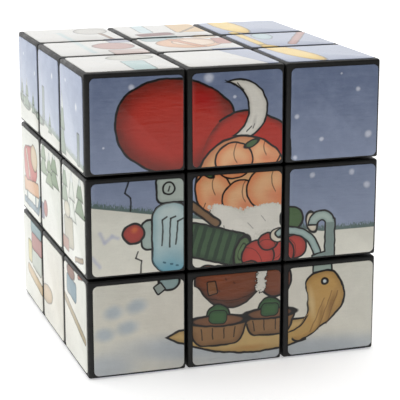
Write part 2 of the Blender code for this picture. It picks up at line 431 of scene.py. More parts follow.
# %% Model one cap
def lid(name, node):
    low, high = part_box(node)
    obj = block(name, low, high)
    obj.select_set(True)
    bpy.ops.object.mode_set(mode="EDIT")
    bpy.ops.mesh.select_all(action="DESELECT")
    bpy.ops.mesh.select_mode(type="FACE")
    bpy.ops.object.mode_set(mode="OBJECT")
    for face in obj.data.polygons:
        face.select = face.normal.z < -0.9
    bpy.ops.object.mode_set(mode="EDIT")
    bpy.ops.mesh.inset(thickness=WALL)
    bpy.ops.mesh.extrude_region_move(TRANSFORM_OT_translate={"value": (0, 0, high.z - low.z - WALL)})
    bpy.ops.object.mode_set(mode="OBJECT")
    hair = 0.1 * MM

    def outer(*ends):
        """True for an edge of the outside, apart from the open rim underneath."""
        beside = all(max(abs(end.x), abs(end.y)) > high.x - hair for end in ends)
        return beside and max(end.z for end in ends) > low.z + hair

    soften(obj, ROUNDING, 3, outer)
    return tidy(obj, shell_plastic)


cap_pattern = lid("cap_pattern", "centre_cap_top")
print(cap_pattern.name, len(cap_pattern.data.polygons), "faces")

# %% [markdown]
# ## Filling the places
# A cell of the cube is three numbers from -1 to 1. One of the 24 turns of a cube carries a pattern from its
# own cell to any cell of its kind. The turn goes into the copy's mesh, and the copy rides on that cell's
# body.

# %% Copy the patterns to their cells
def place_name(cell):
    x, y, z = cell
    words = (
        {1: "top", -1: "bottom"}.get(z), {1: "back", -1: "front"}.get(y), {1: "right", -1: "left"}.get(x)
    )
    return "_".join(word for word in words if word)


def cell_kind(cell):
    return {1: "centre", 2: "edge", 3: "corner"}[sum(map(abs, cell))]


def turn_between(home, cell):
    for order in itertools.permutations(range(3)):
        for signs in itertools.product((1, -1), repeat=3):
            turn = Matrix.Diagonal(signs).to_3x3() @ Matrix([Matrix.Identity(3)[n] for n in order])
            if turn.determinant() > 0 and tuple(round(c) for c in turn @ Vector(home)) == cell:
                return turn.to_4x4()


def ride_cell(obj, cell):
    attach(obj, f"{cell_kind(cell)}_{place_name(cell)}")


CELLS = [cell for cell in itertools.product((-1, 0, 1), repeat=3) if any(cell)]
PATTERNS = {
    "centre": (cap_pattern, (0, 0, 1), "fine_cap", "centre_cap"),
    "edge": (edge_pattern, (0, 1, 1), "fine_edge", "edge_shell"),
    "corner": (corner_pattern, (1, 1, 1), "fine_corner", "corner_shell"),
}
for cell in CELLS:
    pattern, home, name, node = PATTERNS[cell_kind(cell)]
    copy = bpy.data.objects.new(f"{name}_{place_name(cell)}", pattern.data.copy())
    copy.data.transform(turn_between(home, cell))
    bpy.context.scene.collection.objects.link(copy)
    ride_cell(copy, cell)
    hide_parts(f"{node}_{place_name(cell)}")
for pattern, *_ in PATTERNS.values():
    bpy.data.objects.remove(pattern, do_unlink=True)
print(len(CELLS), "shells and caps in place")

# %% [markdown]
# ## Finishes of the inner pieces
# The hubs, the feet and the core are plain mouldings. They keep the CAD model's shapes, because nobody sees
# more of them than a turned face lets through, and take a better finish through their material slots: cream
# nylon for the core, and black plastic with a finer grain for the rest.

# %% Finish the CAD nodes
def core_nylon():
    graph = Graph("cream_nylon")
    place = graph.at().vector("MULTIPLY", (1 / MM,) * 3)
    cloud = graph.noise(place, 0.4, 4.0)
    speck = graph.noise(place, 5.0, 3.0, 0.6)
    colour = graph.mix(cloud.smooth(0.3, 0.7), paint("#d9d4c6"), paint("#c8c1ae"))
    colour = graph.mix(speck.smooth(0.62, 0.8) * 0.25, colour, paint("#8d8674"))
    rough = speck.smooth(0.3, 0.7, 0.40, 0.54)
    return graph.finish(Base_Color=colour, Roughness=rough, Normal=graph.bump(speck, 0.3, 0.02 * MM))


def plated_steel(name, pale="#c9c9c4", dark="#a8a69c"):
    graph = Graph(name)
    place = graph.at().vector("MULTIPLY", (1 / MM,) * 3)
    cloud = graph.noise(place, 0.8, 3.0)
    scratch = graph.noise(place.vector("MULTIPLY", (1.0, 1.0, 6.0)), 4.0, 4.0, 0.6)
    colour = graph.mix(cloud.smooth(0.3, 0.7), paint(pale), paint(dark))
    rough = scratch.smooth(0.3, 0.7, 0.22, 0.38)
    return graph.finish(
        Base_Color=colour, Metallic=1.0, Roughness=rough, Normal=graph.bump(scratch, 0.2, 0.01 * MM)
    )


nylon, steel = core_nylon(), plated_steel("plated_steel")
FINISHES = {"core_spider": nylon, "centre_hub": inner_plastic, "centre_screw": steel}
FINISHES |= {"edge_foot": inner_plastic, "corner_foot": inner_plastic}
finished = 0
for name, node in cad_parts.items():
    for start, finish in FINISHES.items():
        if name.startswith(start):
            finished += 1
            for slot in node.material_slots:
                slot.material = finish
print("finished", finished, "CAD nodes")

# %% [markdown]
# ## Screws, springs and washers
# Each centre is held by a screw that presses a coil spring onto the floor of its hub, with a washer between
# the two. A spring is a round wire swept along a helix, which the Screw modifier does from one circle. The
# same modifier sweeps a small triangle into the screw's thread. The head gets a six-sided socket for its
# key.

# %% Model one screw, one spring and one washer
head_low, head_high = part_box("centre_screw_top")
HEAD_RADIUS = head_high.x
HEAD_HEIGHT = 2.0 * MM
HEAD_BASE = head_high.z - HEAD_HEIGHT
ARM_TIP = 11.0 * MM
SPRING_SEAT = ARM_TIP + 2.3 * MM
SHANK = 1.3 * MM
WASHER_THICKNESS = 0.5 * MM
WIRE = 0.28 * MM
COIL = 2.3 * MM
COIL_TURNS = 5
KEY_SOCKET, KEY_DEPTH = 1.45 * MM, 1.1 * MM
THREAD_DEPTH, THREAD_PITCH = 0.28 * MM, 0.7 * MM
WASHER_RADIUS = 3.05 * MM
UP = (0, 0, 1)


def swept(name, corners, radius, middle, start, pitch, turns, steps):
    """Sweeps a small ring of corners, standing beside the Z axis, along a helix."""
    start_shape()
    bpy.ops.mesh.primitive_circle_add(
        vertices=corners, radius=radius, location=(middle, 0, start), rotation=(math.pi / 2, 0, 0)
    )
    obj = named(name)
    sweep = obj.modifiers.new("sweep", "SCREW")
    sweep.angle, sweep.screw_offset, sweep.iterations = math.tau, pitch, turns
    sweep.steps = sweep.render_steps = steps
    bpy.ops.object.modifier_apply(modifier=sweep.name)
    bpy.ops.object.mode_set(mode="EDIT")
    bpy.ops.mesh.select_all(action="SELECT")
    bpy.ops.mesh.fill_holes(sides=0)
    bpy.ops.object.mode_set(mode="OBJECT")
    return obj


def screw_shape():
    head = rod("screw_pattern", HEAD_RADIUS, UP, HEAD_BASE, head_high.z, 48)
    soften(head, 0.4 * MM, 3, lambda a, b: min(a.z, b.z) > head_high.z - 0.01 * MM)
    cut(head, "DIFFERENCE", rod("key_socket", KEY_SOCKET, UP, head_high.z - KEY_DEPTH, head_high.z + MM, 6))
    cut(head, "UNION", rod("neck", SHANK, UP, ARM_TIP, HEAD_BASE + 0.2 * MM))
    cut(head, "UNION", rod("root", SHANK - THREAD_DEPTH, UP, head_low.z + 0.9 * MM, ARM_TIP + 0.2 * MM))
    start_shape()
    place = (0, 0, head_low.z + 0.5 * MM)
    bpy.ops.mesh.primitive_cone_add(
        vertices=32, radius1=0.1 * MM, radius2=SHANK - THREAD_DEPTH, depth=MM, location=place
    )
    cut(head, "UNION", named("point"))
    thread = swept("thread", 3, 0.30 * MM, SHANK - 0.3 * MM, head_low.z + 1.4 * MM, THREAD_PITCH, 5, 24)
    thread.select_set(True)
    tidy(thread, steel)
    cut(head, "UNION", thread)
    return tidy(head, steel)


def washer_shape():
    washer = rod(
        "washer_pattern", WASHER_RADIUS, UP, HEAD_BASE - WASHER_THICKNESS - 0.02 * MM,
        HEAD_BASE - 0.02 * MM, 48
    )
    cut(washer, "DIFFERENCE", rod("hole", SHANK + 0.12 * MM, UP, HEAD_BASE - MM, HEAD_BASE + MM, 48))

    def on_a_rim(a, b):
        return abs(a.z - b.z) < 0.01 * MM and abs(a.xy.length - b.xy.length) < 0.01 * MM

    soften(washer, 0.06 * MM, 2, on_a_rim)
    return tidy(washer, steel)


def spring_shape():
    room = HEAD_BASE - WASHER_THICKNESS - SPRING_SEAT - 2 * WIRE - 0.1 * MM
    start = SPRING_SEAT + WIRE + 0.03 * MM
    spring = swept("spring_pattern", 10, WIRE, COIL, start, room / COIL_TURNS, COIL_TURNS, 28)
    return tidy(spring, spring_steel)


spring_steel = plated_steel("spring_steel", "#8f8f8c", "#6d6b66")
SMALL_PARTS = {"fine_screw": screw_shape(), "washer": washer_shape(), "spring": spring_shape()}
for name, shape in SMALL_PARTS.items():
    for cell in CELLS:
        if cell_kind(cell) == "centre":
            copy = bpy.data.objects.new(f"{name}_{place_name(cell)}", shape.data.copy())
            copy.data.transform(turn_between((0, 0, 1), cell))
            bpy.context.scene.collection.objects.link(copy)
            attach(copy, "core")
            if name == "fine_screw":
                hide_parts(f"centre_screw_{place_name(cell)}")
    print(name, len(shape.data.polygons), "faces")
    bpy.data.objects.remove(shape, do_unlink=True)

# %% [markdown]
# ## Picture labels
# Each of the 54 squares is a thin vinyl label, cut with rounded corners from one printed sheet, so the
# picture runs on over the gaps between the squares. A label is a thin block: its upright edges are bevelled
# round, and a hair of its top edge is softened, where the white core of the vinyl shows.

# %% Model one label
LABEL_SIDE = 17.25 * MM
LABEL_THICKNESS = 0.15 * MM
LABEL_CORNER = 0.95 * MM
LABEL_LIP = 0.05 * MM
LABEL_SINK = 0.01 * MM  # how far the glued side sits in the plastic
PITCH = 19.0 * MM


def label_pattern():
    half = LABEL_SIDE / 2
    obj = block("label_pattern", (-half, -half, HALF - LABEL_SINK), (half, half, HALF + LABEL_THICKNESS))
    soften(obj, LABEL_CORNER, 6, lambda a, b: abs(a.z - b.z) > 0.05 * MM)
    top = HALF + LABEL_THICKNESS - 0.001 * MM
    soften(obj, LABEL_LIP, 2, lambda a, b: a.z > top and b.z > top)
    obj.data.materials.append(None)
    obj.data.materials.append(None)
    obj.data.uv_layers.new(name="label")
    corners = obj.data.uv_layers["label"].data
    for loop in obj.data.loops:
        spot = obj.data.vertices[loop.vertex_index].co
        corners[loop.index].uv = (spot.x / LABEL_SIDE + 0.5, spot.y / LABEL_SIDE + 0.5)
    bpy.ops.object.shade_smooth_by_angle(angle=SMOOTH_BELOW)
    for side in obj.data.polygons:
        side.material_index = int(side.normal.z < 0.5)
    return obj


def vinyl_core():
    """The cut side of a label: white plastic film, a little dirty."""
    graph = Graph("vinyl_core")
    place = graph.at().vector("MULTIPLY", (1 / MM,) * 3)
    dirt = graph.noise(place, 1.2, 4.0, 0.65)
    colour = graph.mix(dirt.smooth(0.42, 0.70), paint("#a9a7a0"), paint("#4c4a45"))
    return graph.finish(Base_Color=colour, Roughness=dirt.smooth(0.3, 0.7, 0.45, 0.62))


label_side = vinyl_core()
pattern = label_pattern()
print("label:", len(pattern.data.polygons), "faces")

# %% [markdown]
# ## Drawing on a label
# The pictures are drawn in the shader, in mm from the middle of a face, so a line stays sharp at any size.
# Every shape is a distance: below zero inside, zero on its outline, above zero outside. A fill covers where
# the distance is below zero, an ink line follows where it is near zero, and shading fades in from the
# outline.

# %% A drawing and its shapes
INK = "#100c09"
PRINT_SOFTNESS = 0.07  # mm over which one print colour turns into the next
INK_LINE = 0.21  # mm, half the width of a drawn line
PAGE_INPUTS = {"Place": "NodeSocketVector", "Flat": "NodeSocketVector", "Wash": "NodeSocketFloat"}
PAGE_INPUTS |= {"Under": "NodeSocketColor"}


class Drawing(Graph):
    """A printed picture, painted from back to front on pages, each a node group."""

    def __init__(self, name, right, up, pen=1.0):
        super().__init__(name)
        self.pen = pen
        spot = self.at()
        x = spot.vector("DOT_PRODUCT", Vector(right) / MM)
        y = spot.vector("DOT_PRODUCT", Vector(up) / MM)
        self.flat = self.node("CombineXYZ", {}, {0: x, 1: y})
        shake = self.noise(self.flat, 0.55, 1.0, output="Color").vector("SUBTRACT", (0.5,) * 3)
        self.place = self.flat.vector("ADD", shake.vector("MULTIPLY", (0.4, 0.4, 0)))
        self.wash = self.noise(self.flat, 0.30, 4.0, 0.6)
        self.colour = paint("#e0ded1")
        self.sheet, self.shared = self.tree, (self.place, self.flat, self.wash)

    def page(self, title):
        """Starts a page: small trees build quickly and read well."""
        self.close_page()
        group = bpy.data.node_groups.new(f"{self.material.name}_{title}", "ShaderNodeTree")
        for name, kind in PAGE_INPUTS.items():
            group.interface.new_socket(name, in_out="INPUT", socket_type=kind)
        group.interface.new_socket("Over", in_out="OUTPUT", socket_type="NodeSocketColor")
        self.tree, self.under = group, self.colour
        inlet = group.nodes.new("NodeGroupInput")
        self.place, self.flat, self.wash, self.colour = (Value(self, inlet.outputs[n]) for n in range(4))

    def close_page(self):
        if self.tree is not self.sheet:
            outlet = self.tree.nodes.new("NodeGroupOutput")
            self.tree.links.new(self.colour.socket, outlet.inputs[0])
            group, self.tree = self.tree, self.sheet
            self.place, self.flat, self.wash = self.shared
            self.colour = self.node(
                "Group", {"node_tree": group}, dict(enumerate((*self.shared, self.under)))
            )

    def across(self):
        return self.flat.vector("DOT_PRODUCT", (1, 0, 0))

    def height(self):
        return self.flat.vector("DOT_PRODUCT", (0, 1, 0))

    def local(self, x, y, turn=0.0, wide=1.0, tall=1.0):
        """The place seen from a shape's own middle, turned, in its half widths and half heights."""
        if not turn:
            return self.place.vector("MULTIPLY_ADD", (1 / wide, 1 / tall, 0), (-x / wide, -y / tall, 0))
        moved = self.place.vector("SUBTRACT", (x, y, 0))
        c, s = math.cos(math.radians(turn)), math.sin(math.radians(turn))
        along = moved.vector("DOT_PRODUCT", (c / wide, s / wide, 0))
        beside = moved.vector("DOT_PRODUCT", (-s / tall, c / tall, 0))
        return self.node("CombineXYZ", {}, {0: along, 1: beside})

    def oval(self, x, y, wide, tall, turn=0.0):
        return (self.local(x, y, turn, wide, tall).vector("LENGTH") - 1) * min(wide, tall)

    def slab(self, x, y, wide, tall, corner, turn=0.0):
        """A rounded block, from half its width and half its height."""
        folded = self.local(x, y, turn).vector("ABSOLUTE")
        past = folded.vector("SUBTRACT", (wide - corner, tall - corner, 0)).vector("MAXIMUM", (0, 0, 0))
        return past.vector("LENGTH") - corner

    def bar(self, x1, y1, x2, y2, half):
        """A line with round ends."""
        long = math.hypot(x2 - x1, y2 - y1) / 2
        turn = math.degrees(math.atan2(y2 - y1, x2 - x1))
        return self.slab((x1 + x2) / 2, (y1 + y2) / 2, long + half, half, half, turn)

    def side(self, x, y, turn):
        """Below zero on the near side of a straight line; the far side lies in the direction of the turn."""
        toward = (math.cos(math.radians(turn)), math.sin(math.radians(turn)), 0)
        return self.place.vector("DOT_PRODUCT", toward) - (x * toward[0] + y * toward[1])

    def blob(self, x, y, radii):
        """A closed outline round a middle, from a table of angle in degrees and radius in mm."""
        local = self.local(x, y)
        parts = self.node("SeparateXYZ", {}, {0: local}).socket.node
        turn = Value(self, parts.outputs[1]).math("ARCTAN2", Value(self, parts.outputs[0]))
        widest = max(radii.values())
        points = [((angle + 180) / 360, radius / widest) for angle, radius in sorted(radii.items())]
        share = self.node("FloatCurve", {"points": points}, {"Value": turn * (0.5 / math.pi) + 0.5})
        return local.vector("LENGTH") - share * widest

    def arc(self, x, y, radius, half, middle, reach):
        """Part of a ring, for so many degrees to each side of its middle direction."""
        ring = abs(self.oval(x, y, radius, radius)) - half
        cut_off = radius * math.cos(math.radians(reach))
        toward = math.radians(middle)
        return ring.math(
            "MAXIMUM", -self.side(x + cut_off * math.cos(toward), y + cut_off * math.sin(toward), middle)
        )

    def fill(self, distance, code, softness=PRINT_SOFTNESS, amount=1.0):
        self.colour = self.mix(distance.smooth(softness, -softness, 0, amount), self.colour, paint(code))

    def tone(self, distance, code, depth, amount, within=None):
        """Shading that is strongest at the outline and fades inwards over a depth."""
        share = distance.smooth(-depth, 0, 0, amount) * self.wash.smooth(0.2, 0.6, 0.6, 1.0)
        if within is None:
            within = distance
        self.colour = self.mix(
            share * within.smooth(PRINT_SOFTNESS, -PRINT_SOFTNESS), self.colour, paint(code)
        )

    def glow(self, x, y, wide, tall, code, amount, within, turn=0.0):
        """A soft patch inside a shape."""
        share = self.local(x, y, turn, wide, tall).vector("LENGTH").smooth(1, 0, 0, amount)
        self.colour = self.mix(
            share * within.smooth(PRINT_SOFTNESS, -PRINT_SOFTNESS), self.colour, paint(code)
        )

    def ink(self, distance, half=INK_LINE, amount=1.0, within=None):
        share = abs(distance).smooth(half + PRINT_SOFTNESS, half - PRINT_SOFTNESS, 0, amount * self.pen)
        if within is not None:
            share = share * within.smooth(PRINT_SOFTNESS, -PRINT_SOFTNESS)
        self.colour = self.mix(share, self.colour, paint(INK))

    def draw(self, distance, code, shade=None, depth=1.5, amount=0.6, half=INK_LINE):
        """Fill, shading and outline of one shape."""
        self.fill(distance, code)
        if shade:
            self.tone(distance, shade, depth, amount)
        self.ink(distance, half)

    def strokes(self, lines, half=0.12, code=INK, amount=0.9):
        """Short pen strokes, each from one point to another."""
        for line in lines:
            self.fill(self.bar(*line, half), code, amount=amount)

    def print_finish(self):
        """The printed vinyl: ink soaked a little unevenly, a clear laminate, and a paler rim at the cut edge:
        worn spots that show the white core, and a painted highlight along the edge.
        """
        self.close_page()
        spot = self.at("UV").vector("SUBTRACT", (0.5, 0.5, 0)).vector("MULTIPLY", (LABEL_SIDE / MM,) * 3)
        inner = LABEL_SIDE / 2 / MM - LABEL_CORNER / MM
        past = spot.vector("ABSOLUTE").vector("SUBTRACT", (inner, inner, 0)).vector("MAXIMUM", (0, 0, 0))
        rim = past.vector("LENGTH") - LABEL_CORNER / MM
        chips = self.noise(self.flat, 2.0, 4.0, 0.7)
        fibre = self.noise(self.flat, 3.2, 3.0, 0.6)
        uneven = fibre.smooth(0.2, 0.8, 0.975, 1.02) * self.wash.smooth(0.2, 0.8, 0.95, 1.04)
        shaded = self.node("VectorMath", {"operation": "SCALE"}, {0: self.colour, 3: uneven})
        # Paler towards the cut edge in chipped patches: worn spots that show the white core, and a painted
        # highlight along the edge.
        worn = rim.smooth(-0.30, -0.05) * chips.smooth(0.35, 0.75, 0.25, 0.9)
        colour = self.mix(worn * 0.55, shaded, paint("#dedbd2"))
        ripple = self.noise(self.flat.vector("MULTIPLY", (0.5, 2.2, 1)), 0.55, 3.0, 0.55)
        rough = fibre.smooth(0.2, 0.8, 0.27, 0.30) + chips.smooth(0.5, 0.9) * 0.05 + worn * 0.2
        height = ripple * 0.8 + fibre * 0.03 - rim.smooth(-0.35, 0.0) * 0.35
        self.finish(Specular_IOR_Level=0.38)
        return self.finish(Base_Color=colour, Roughness=rough, Normal=self.bump(height, 0.9, 0.08 * MM))


def winter_ground(drawing, sky_top, sky_low, slope, grass, snow):
    """Sky, grass and snow. Slope is the grass line's height, its fall and its lowest height, in mm."""
    drawing.page("ground")
    height = drawing.height()
    horizon = slope[0] if slope[2] is None else slope[2]
    sky = drawing.mix(height.smooth(horizon, 28), paint(sky_low), paint(sky_top))
    sky = drawing.mix(drawing.wash.smooth(0.35, 0.75) * 0.35, sky, paint(sky_low))
    drawing.colour = sky
    above = height - slope[0]
    if slope[1]:
        above = above - drawing.across() * slope[1]
    if slope[2] is not None:
        above = above.math("MINIMUM", height - slope[2])
    tufts = above - drawing.noise(
        drawing.flat.vector("MULTIPLY", (3.0, 1.0, 1)), 1.2, 4.0, 0.7
    ).smooth(0.2, 0.8, 0.1, 1.7)
    drawing.fill(tufts, grass, 0.35, 0.85)
    drawing.fill(above, snow)
    drawing.ink(above, 0.03, 0.5)
    drawing.tone(above, "#cfccc0", 4.0, 0.35)
    drawing.glow(0, -20, 40, 20, "#e4d6c4", 0.35, above)


def flakes(drawing, spots, code="#c9cdda"):
    """Snow in the air: soft round spots of x, y and radius."""
    for x, y, radius in spots:
        drawing.fill(drawing.oval(x, y, radius, radius), code, radius * 0.6, 0.9)


print("drawing shapes are ready")

# %% [markdown]
# ## The front picture
# A toboggan stands in the snow, loaded for a journey: a big red sack open at the peaches in it, a white
# ribbon, a fleece, a striped green blanket roll, balls of red wool, a leather bag, two baskets, and a teal
# lamp at the left. It is painted like an inked storybook page: a wash of colour, darker towards the
# outline, and a dark pen line.

# %% Draw the front
front = Drawing("front_picture", (1, 0, 0), (0, 0, 1))
winter_ground(front, "#6d7a97", "#8b96ae", (-0.8, -0.177, -3.85), "#4a6152", "#e0ded1")
flakes(
    front, [(-19.7, 25.5, 0.5), (-5.3, 26.5, 0.8), (-0.3, 22.8, 0.3), (23.9, 22.9, 0.4), (11.8, 18.4, 0.4)]
)
flakes(front, [(16.8, 13.9, 0.4), (26.2, 14.3, 0.6), (11.5, 10.7, 0.4), (15.1, 7.1, 0.5), (23.0, 7.2, 0.5)])
flakes(front, [(26.2, 4.5, 0.6), (20.5, 26.0, 0.2), (-25.0, 15.0, 0.2)])
print("ground page:", len(front.tree.nodes), "nodes")

# %% [markdown]
# ### The sack and its ribbon
# A sack swells where it is full and narrows at its collar, so each of the two is a blob: a table of
# directions and radii round a middle. It could also be many ovals melted together, but a table is easier to
# correct. The ribbon is the crescent that is left when one oval is taken out of another.

# %% Red sack with its open mouth
front.page("sack")
SACK = {
    -180: 10.1, -154: 9.4, -129: 8.6, -104: 8.4, -84: 8.9, -60: 9.4, -33: 9.9, -7: 11.5, 10: 12.4, 28: 11.3
}
SACK |= {49: 9.9, 73: 9.1, 93: 8.9, 124: 9.4, 148: 10.3, 171: 10.2, 180: 10.1}
COLLAR = {
    -180: 8.5, -157: 8.9, -122: 6.1, -51: 6.7, -19: 8.9, 0: 8.7, 30: 8.6, 56: 7.6, 86: 7.5, 124: 7.6,
    153: 7.8, 180: 8.5
}
sack = front.blob(-12.7, 17.9, SACK)
front.draw(sack, "#b32b1b", "#5f2014", 4.4, 0.9)
# The vivid, deeper red patch high on the sack's right is a painted reflection of the glossy laminate.
front.glow(-6.2, 22.6, 4.5, 3.0, "#a80505", 0.85, sack, -30)
front.glow(-15.0, 20.0, 7.0, 5.0, "#b83222", 0.5, sack)
collar = front.blob(1.9, 12.7, COLLAR)
front.fill(collar, "#b32b1b")
front.tone(collar, "#5f2418", 1.6, 0.7)
front.ink(collar, within=front.side(-2.4, 17.2, -140))
front.glow(-5.0, 17.0, 3.5, 1.2, "#4f1f15", 0.6, collar, 30)
print("sack page:", len(front.tree.nodes), "nodes")

# %% White ribbon
front.page("ribbon")
ribbon = front.oval(0.4, 20.4, 5.58, 5.58).math("MAXIMUM", -front.oval(-2.8, 20.4, 5.26, 5.26))
ribbon = ribbon.math("MAXIMUM", -front.side(2.2, 15.2, 80))
front.draw(ribbon, "#dedacf", "#a8a398", 1.0, 0.5, 0.18)
front.strokes([(2.0, 16.2, 2.9, 17.2), (0.2, 25.3, 1.4, 23.9)])
front.strokes([(-2.2, 25.9, -0.4, 24.9), (3.2, 16.8, 3.5, 17.6)], 0.09)
front.glow(3.5, 18.0, 0.6, 2.0, "#a8a49b", 0.5, ribbon, -15)
print("ribbon page:", len(front.tree.nodes), "nodes")

# %% [markdown]
# ### The peaches and the fleece
# A peach is warm in the middle, redder where it turns away, and has one cleft. Each is an oval kept inside
# the mouth of the sack, with a glow low down and an arc for its cleft. A fleece has no smooth edge, so
# noise is added to its distance before it is filled. The blanket roll shows its stripes on the side and its
# turns at the end.

# %% Peaches in the mouth of the sack
front.page("peaches")
mouth = front.oval(1.2, 6.3, 9.0, 9.2)
front.draw(mouth, "#dba878", "#b5603a", 2.2, 0.7)
PEACHES = [
    (5.4, 12.0, 3.2, 3.1), (-4.6, 5.2, 3.7, 3.9), (-0.4, 11.0, 3.6, 3.4), (1.2, 3.6, 3.9, 3.6),
    (7.0, 5.4, 4.9, 4.3)
]
for x, y, wide, tall in PEACHES:
    peach = front.oval(x, y, wide, tall, 8).math("MAXIMUM", mouth)
    front.draw(peach, "#e6b283", "#d8733f", tall * 0.55, 0.75, 0.17)
    front.glow(x + wide * 0.2, y - tall * 0.35, wide * 0.9, tall * 0.7, "#d0562f", 0.55, peach)
    front.ink(front.arc(x + wide * 0.9, y + tall * 0.4, wide * 0.9, 0.01, 178, 34), 0.09, 0.7, peach)
leaf = front.oval(3.0, 14.0, 1.5, 0.6, 25).math("MINIMUM", front.oval(-5.6, 8.9, 1.4, 0.55, -30))
front.draw(leaf, "#48633c", "#2b472b", 0.4, 0.6, 0.13)
print("peaches:", len(PEACHES))

# %% Fleece, blanket roll and straps
front.page("fleece")
FLEECE = {
    -180: 6.5, -156: 5.4, -138: 4.7, -114: 4.2, -90: 4.7, -71: 5.2, -48: 5.4, -30: 6.7, -14: 10.3, 11: 8.0
}
FLEECE |= {30: 3.6, 60: 1.6, 90: 1.2, 120: 1.6, 147: 4.0, 162: 6.6, 180: 6.5}
fleece = front.blob(1.3, 0.4, FLEECE)
curls = front.noise(front.flat, 1.6, 3.0, 0.7)
fleece = fleece + curls.smooth(0.3, 0.7, 0.5, -0.6)
front.fill(fleece, "#dedacf", 0.12)
front.tone(fleece, "#a9a699", 1.4, 0.35)
front.strokes(
    [(-5.9, 3.4, -6.6, 1.6), (-5.0, 1.9, -5.8, 0.2), (-3.6, 0.1, -3.8, -1.5), (-2.4, -1.2, -2.0, -2.5)],
    0.09
)
front.strokes([(-0.7, -2.0, 0.1, -3.0), (2.4, -1.0, 3.4, -2.2), (5.0, 0.2, 5.9, -0.9)], 0.07, amount=0.5)
strap = front.bar(-8.6, 3.2, -3.8, -0.6, 0.75)
front.draw(strap, "#7c5e41", "#4e3a28", 0.6, 0.5)
roll = front.slab(-4.2, -4.6, 6.3, 3.2, 1.6, -17)
bands = front.local(-4.2, -4.6, -17).vector("DOT_PRODUCT", (1, 0, 0)).math("PINGPONG", 0.85)
front.draw(roll, "#3d593a", "#1f3321", 1.3, 0.7)
front.colour = front.mix(
    bands.smooth(0.35, 0.60, 0, 0.9) * roll.smooth(0.05, -0.25), front.colour, paint("#203524")
)
roll_end = front.oval(1.3, -6.5, 1.5, 3.1, -17)
front.draw(roll_end, "#587048", "#34482c", 0.8, 0.6)
front.ink(front.oval(1.3, -6.5, 0.7, 1.6, -17), 0.09, 0.8)
print("fleece page:", len(front.tree.nodes), "nodes")

# %% [markdown]
# ### The wool and the bag
# A ball of wool shows the turns of its thread, so two arcs cross each oval. A leather bag is stained darker
# towards its seams and rubbed paler in the middle, which takes a tone and a glow over the flat colour.

# %% Balls of wool and leather bag
front.page("bag")
front.fill(front.oval(11.0, -0.9, 2.3, 2.3), "#48633c")
front.ink(front.oval(11.0, -0.9, 2.3, 2.3))
WOOL = [
    (11.6, -6.4, 2.5, 2.3, 20), (8.6, -7.4, 3.0, 2.9, -40), (4.4, -7.6, 3.2, 3.1, 30),
    (6.4, -4.9, 1.9, 1.7, 80)
]
for x, y, wide, tall, turn in WOOL:
    wool = front.oval(x, y, wide, tall)
    front.draw(wool, "#b33c31", "#7d2a24", 1.3, 0.6, 0.17)
    for aside in (-0.9, 0.2):
        way = math.radians(turn)
        thread = front.arc(
            x + aside * wide * math.cos(way), y + aside * tall * math.sin(way), wide, 0.01, turn, 60
        )
        front.ink(thread, 0.07, 0.7, wool)
BAG = {-180: 6.4, -157: 5.0, -133: 4.7, -100: 4.5, -75: 4.8, -53: 5.2, -29: 5.6, -12: 6.1, 7: 6.2, 24: 6.7}
BAG |= {60: 4.2, 90: 3.6, 120: 4.2, 156: 6.7, 180: 6.4}
bag = front.blob(-1.4, -12.5, BAG)
side_bag = front.oval(8.0, -12.4, 3.2, 3.4)
front.draw(side_bag, "#7c4329", "#472c22", 1.4, 0.7)
front.draw(bag, "#7c4329", "#45291f", 1.5, 0.65)
front.glow(-3.2, -11.6, 3.5, 2.2, "#8a4a2c", 0.6, bag)
front.tone(front.oval(-1.2, -9.6, 8.2, 6.9), "#3f2c24", 2.0, 0.7, bag)
front.ink(front.oval(-1.2, -9.6, 8.2, 6.2), 0.10, 0.6, bag)
front.draw(front.slab(-4.6, -13.0, 0.9, 1.3, 0.3, 8), "#8a5a38", "#573823", 0.5, 0.5, 0.12)
front.strokes(
    [(-2.0, -11.4, -1.8, -11.6), (-0.3, -12.3, -0.1, -12.5), (-3.4, -13.6, -3.2, -13.8)], 0.16, "#5a2f1f"
)
curls = front.noise(front.flat, 1.6, 3.0, 0.7)
tuft = front.slab(5.2, -12.0, 1.0, 2.6, 0.6, -8) + curls.smooth(0.3, 0.7, 0.35, -0.35)
front.draw(tuft, "#dedacf", "#a9a699", 0.6, 0.4, 0.12)
print("balls of wool:", len(WOOL))

# %% [markdown]
# ### The toboggan and the baskets
# A toboggan's deck is a thin board that is steamed and curled up at its tip. The deck is a big circle cut
# off by straight lines, and the tip is a blob with long soft stripes for the grain. A basket is a round
# bowl with upright canes, and one table of radii serves both baskets at two sizes.

# %% Toboggan deck and its curled tip
front.page("toboggan")
deck = front.oval(4.2, 9.7, 36.1, 36.1).math("MAXIMUM", front.side(-0.8, -20.7, 90))
deck = deck.math("MAXIMUM", front.side(-15.4, -22.6, 113.4)).math("MAXIMUM", front.side(14.2, -20, 0))
shadow = front.oval(-7.5, -24.4, 13.5, 2.6, -4).math("MINIMUM", front.oval(12, -27.0, 24, 2.5, -2))
front.fill(shadow, "#b3bbc2", 1.6, 0.85)
front.draw(deck, "#c9a96f", "#96743c", 1.1, 0.65)
front.glow(3.0, -25.4, 6.0, 0.9, "#b07f45", 0.7, deck)
TIP = {
    -180: 2.8, -150: 3.2, -138: 5.2, -129: 9.0, -119: 8.0, -107: 6.4, -84: 4.5, -40: 3.8, -6: 4.4, 15: 4.9,
    40: 5.4, 58: 6.0
}
TIP |= {75: 6.4, 92: 6.1, 109: 6.0, 125: 5.4, 135: 4.5, 164: 2.8, 180: 2.8}
post_root = front.slab(17.5, -11.2, 1.9, 1.2, 0.5)
front.draw(post_root, "#a2b1a6", "#657f7c", 0.6, 0.6, 0.16)
tip = front.blob(17.4, -17.9, TIP)
front.draw(tip, "#c49a58", "#8a6734", 1.6, 0.55)
front.fill(front.bar(10.6, -23.8, 14.3, -22.7, 0.9), "#c09b5b", 0.3)
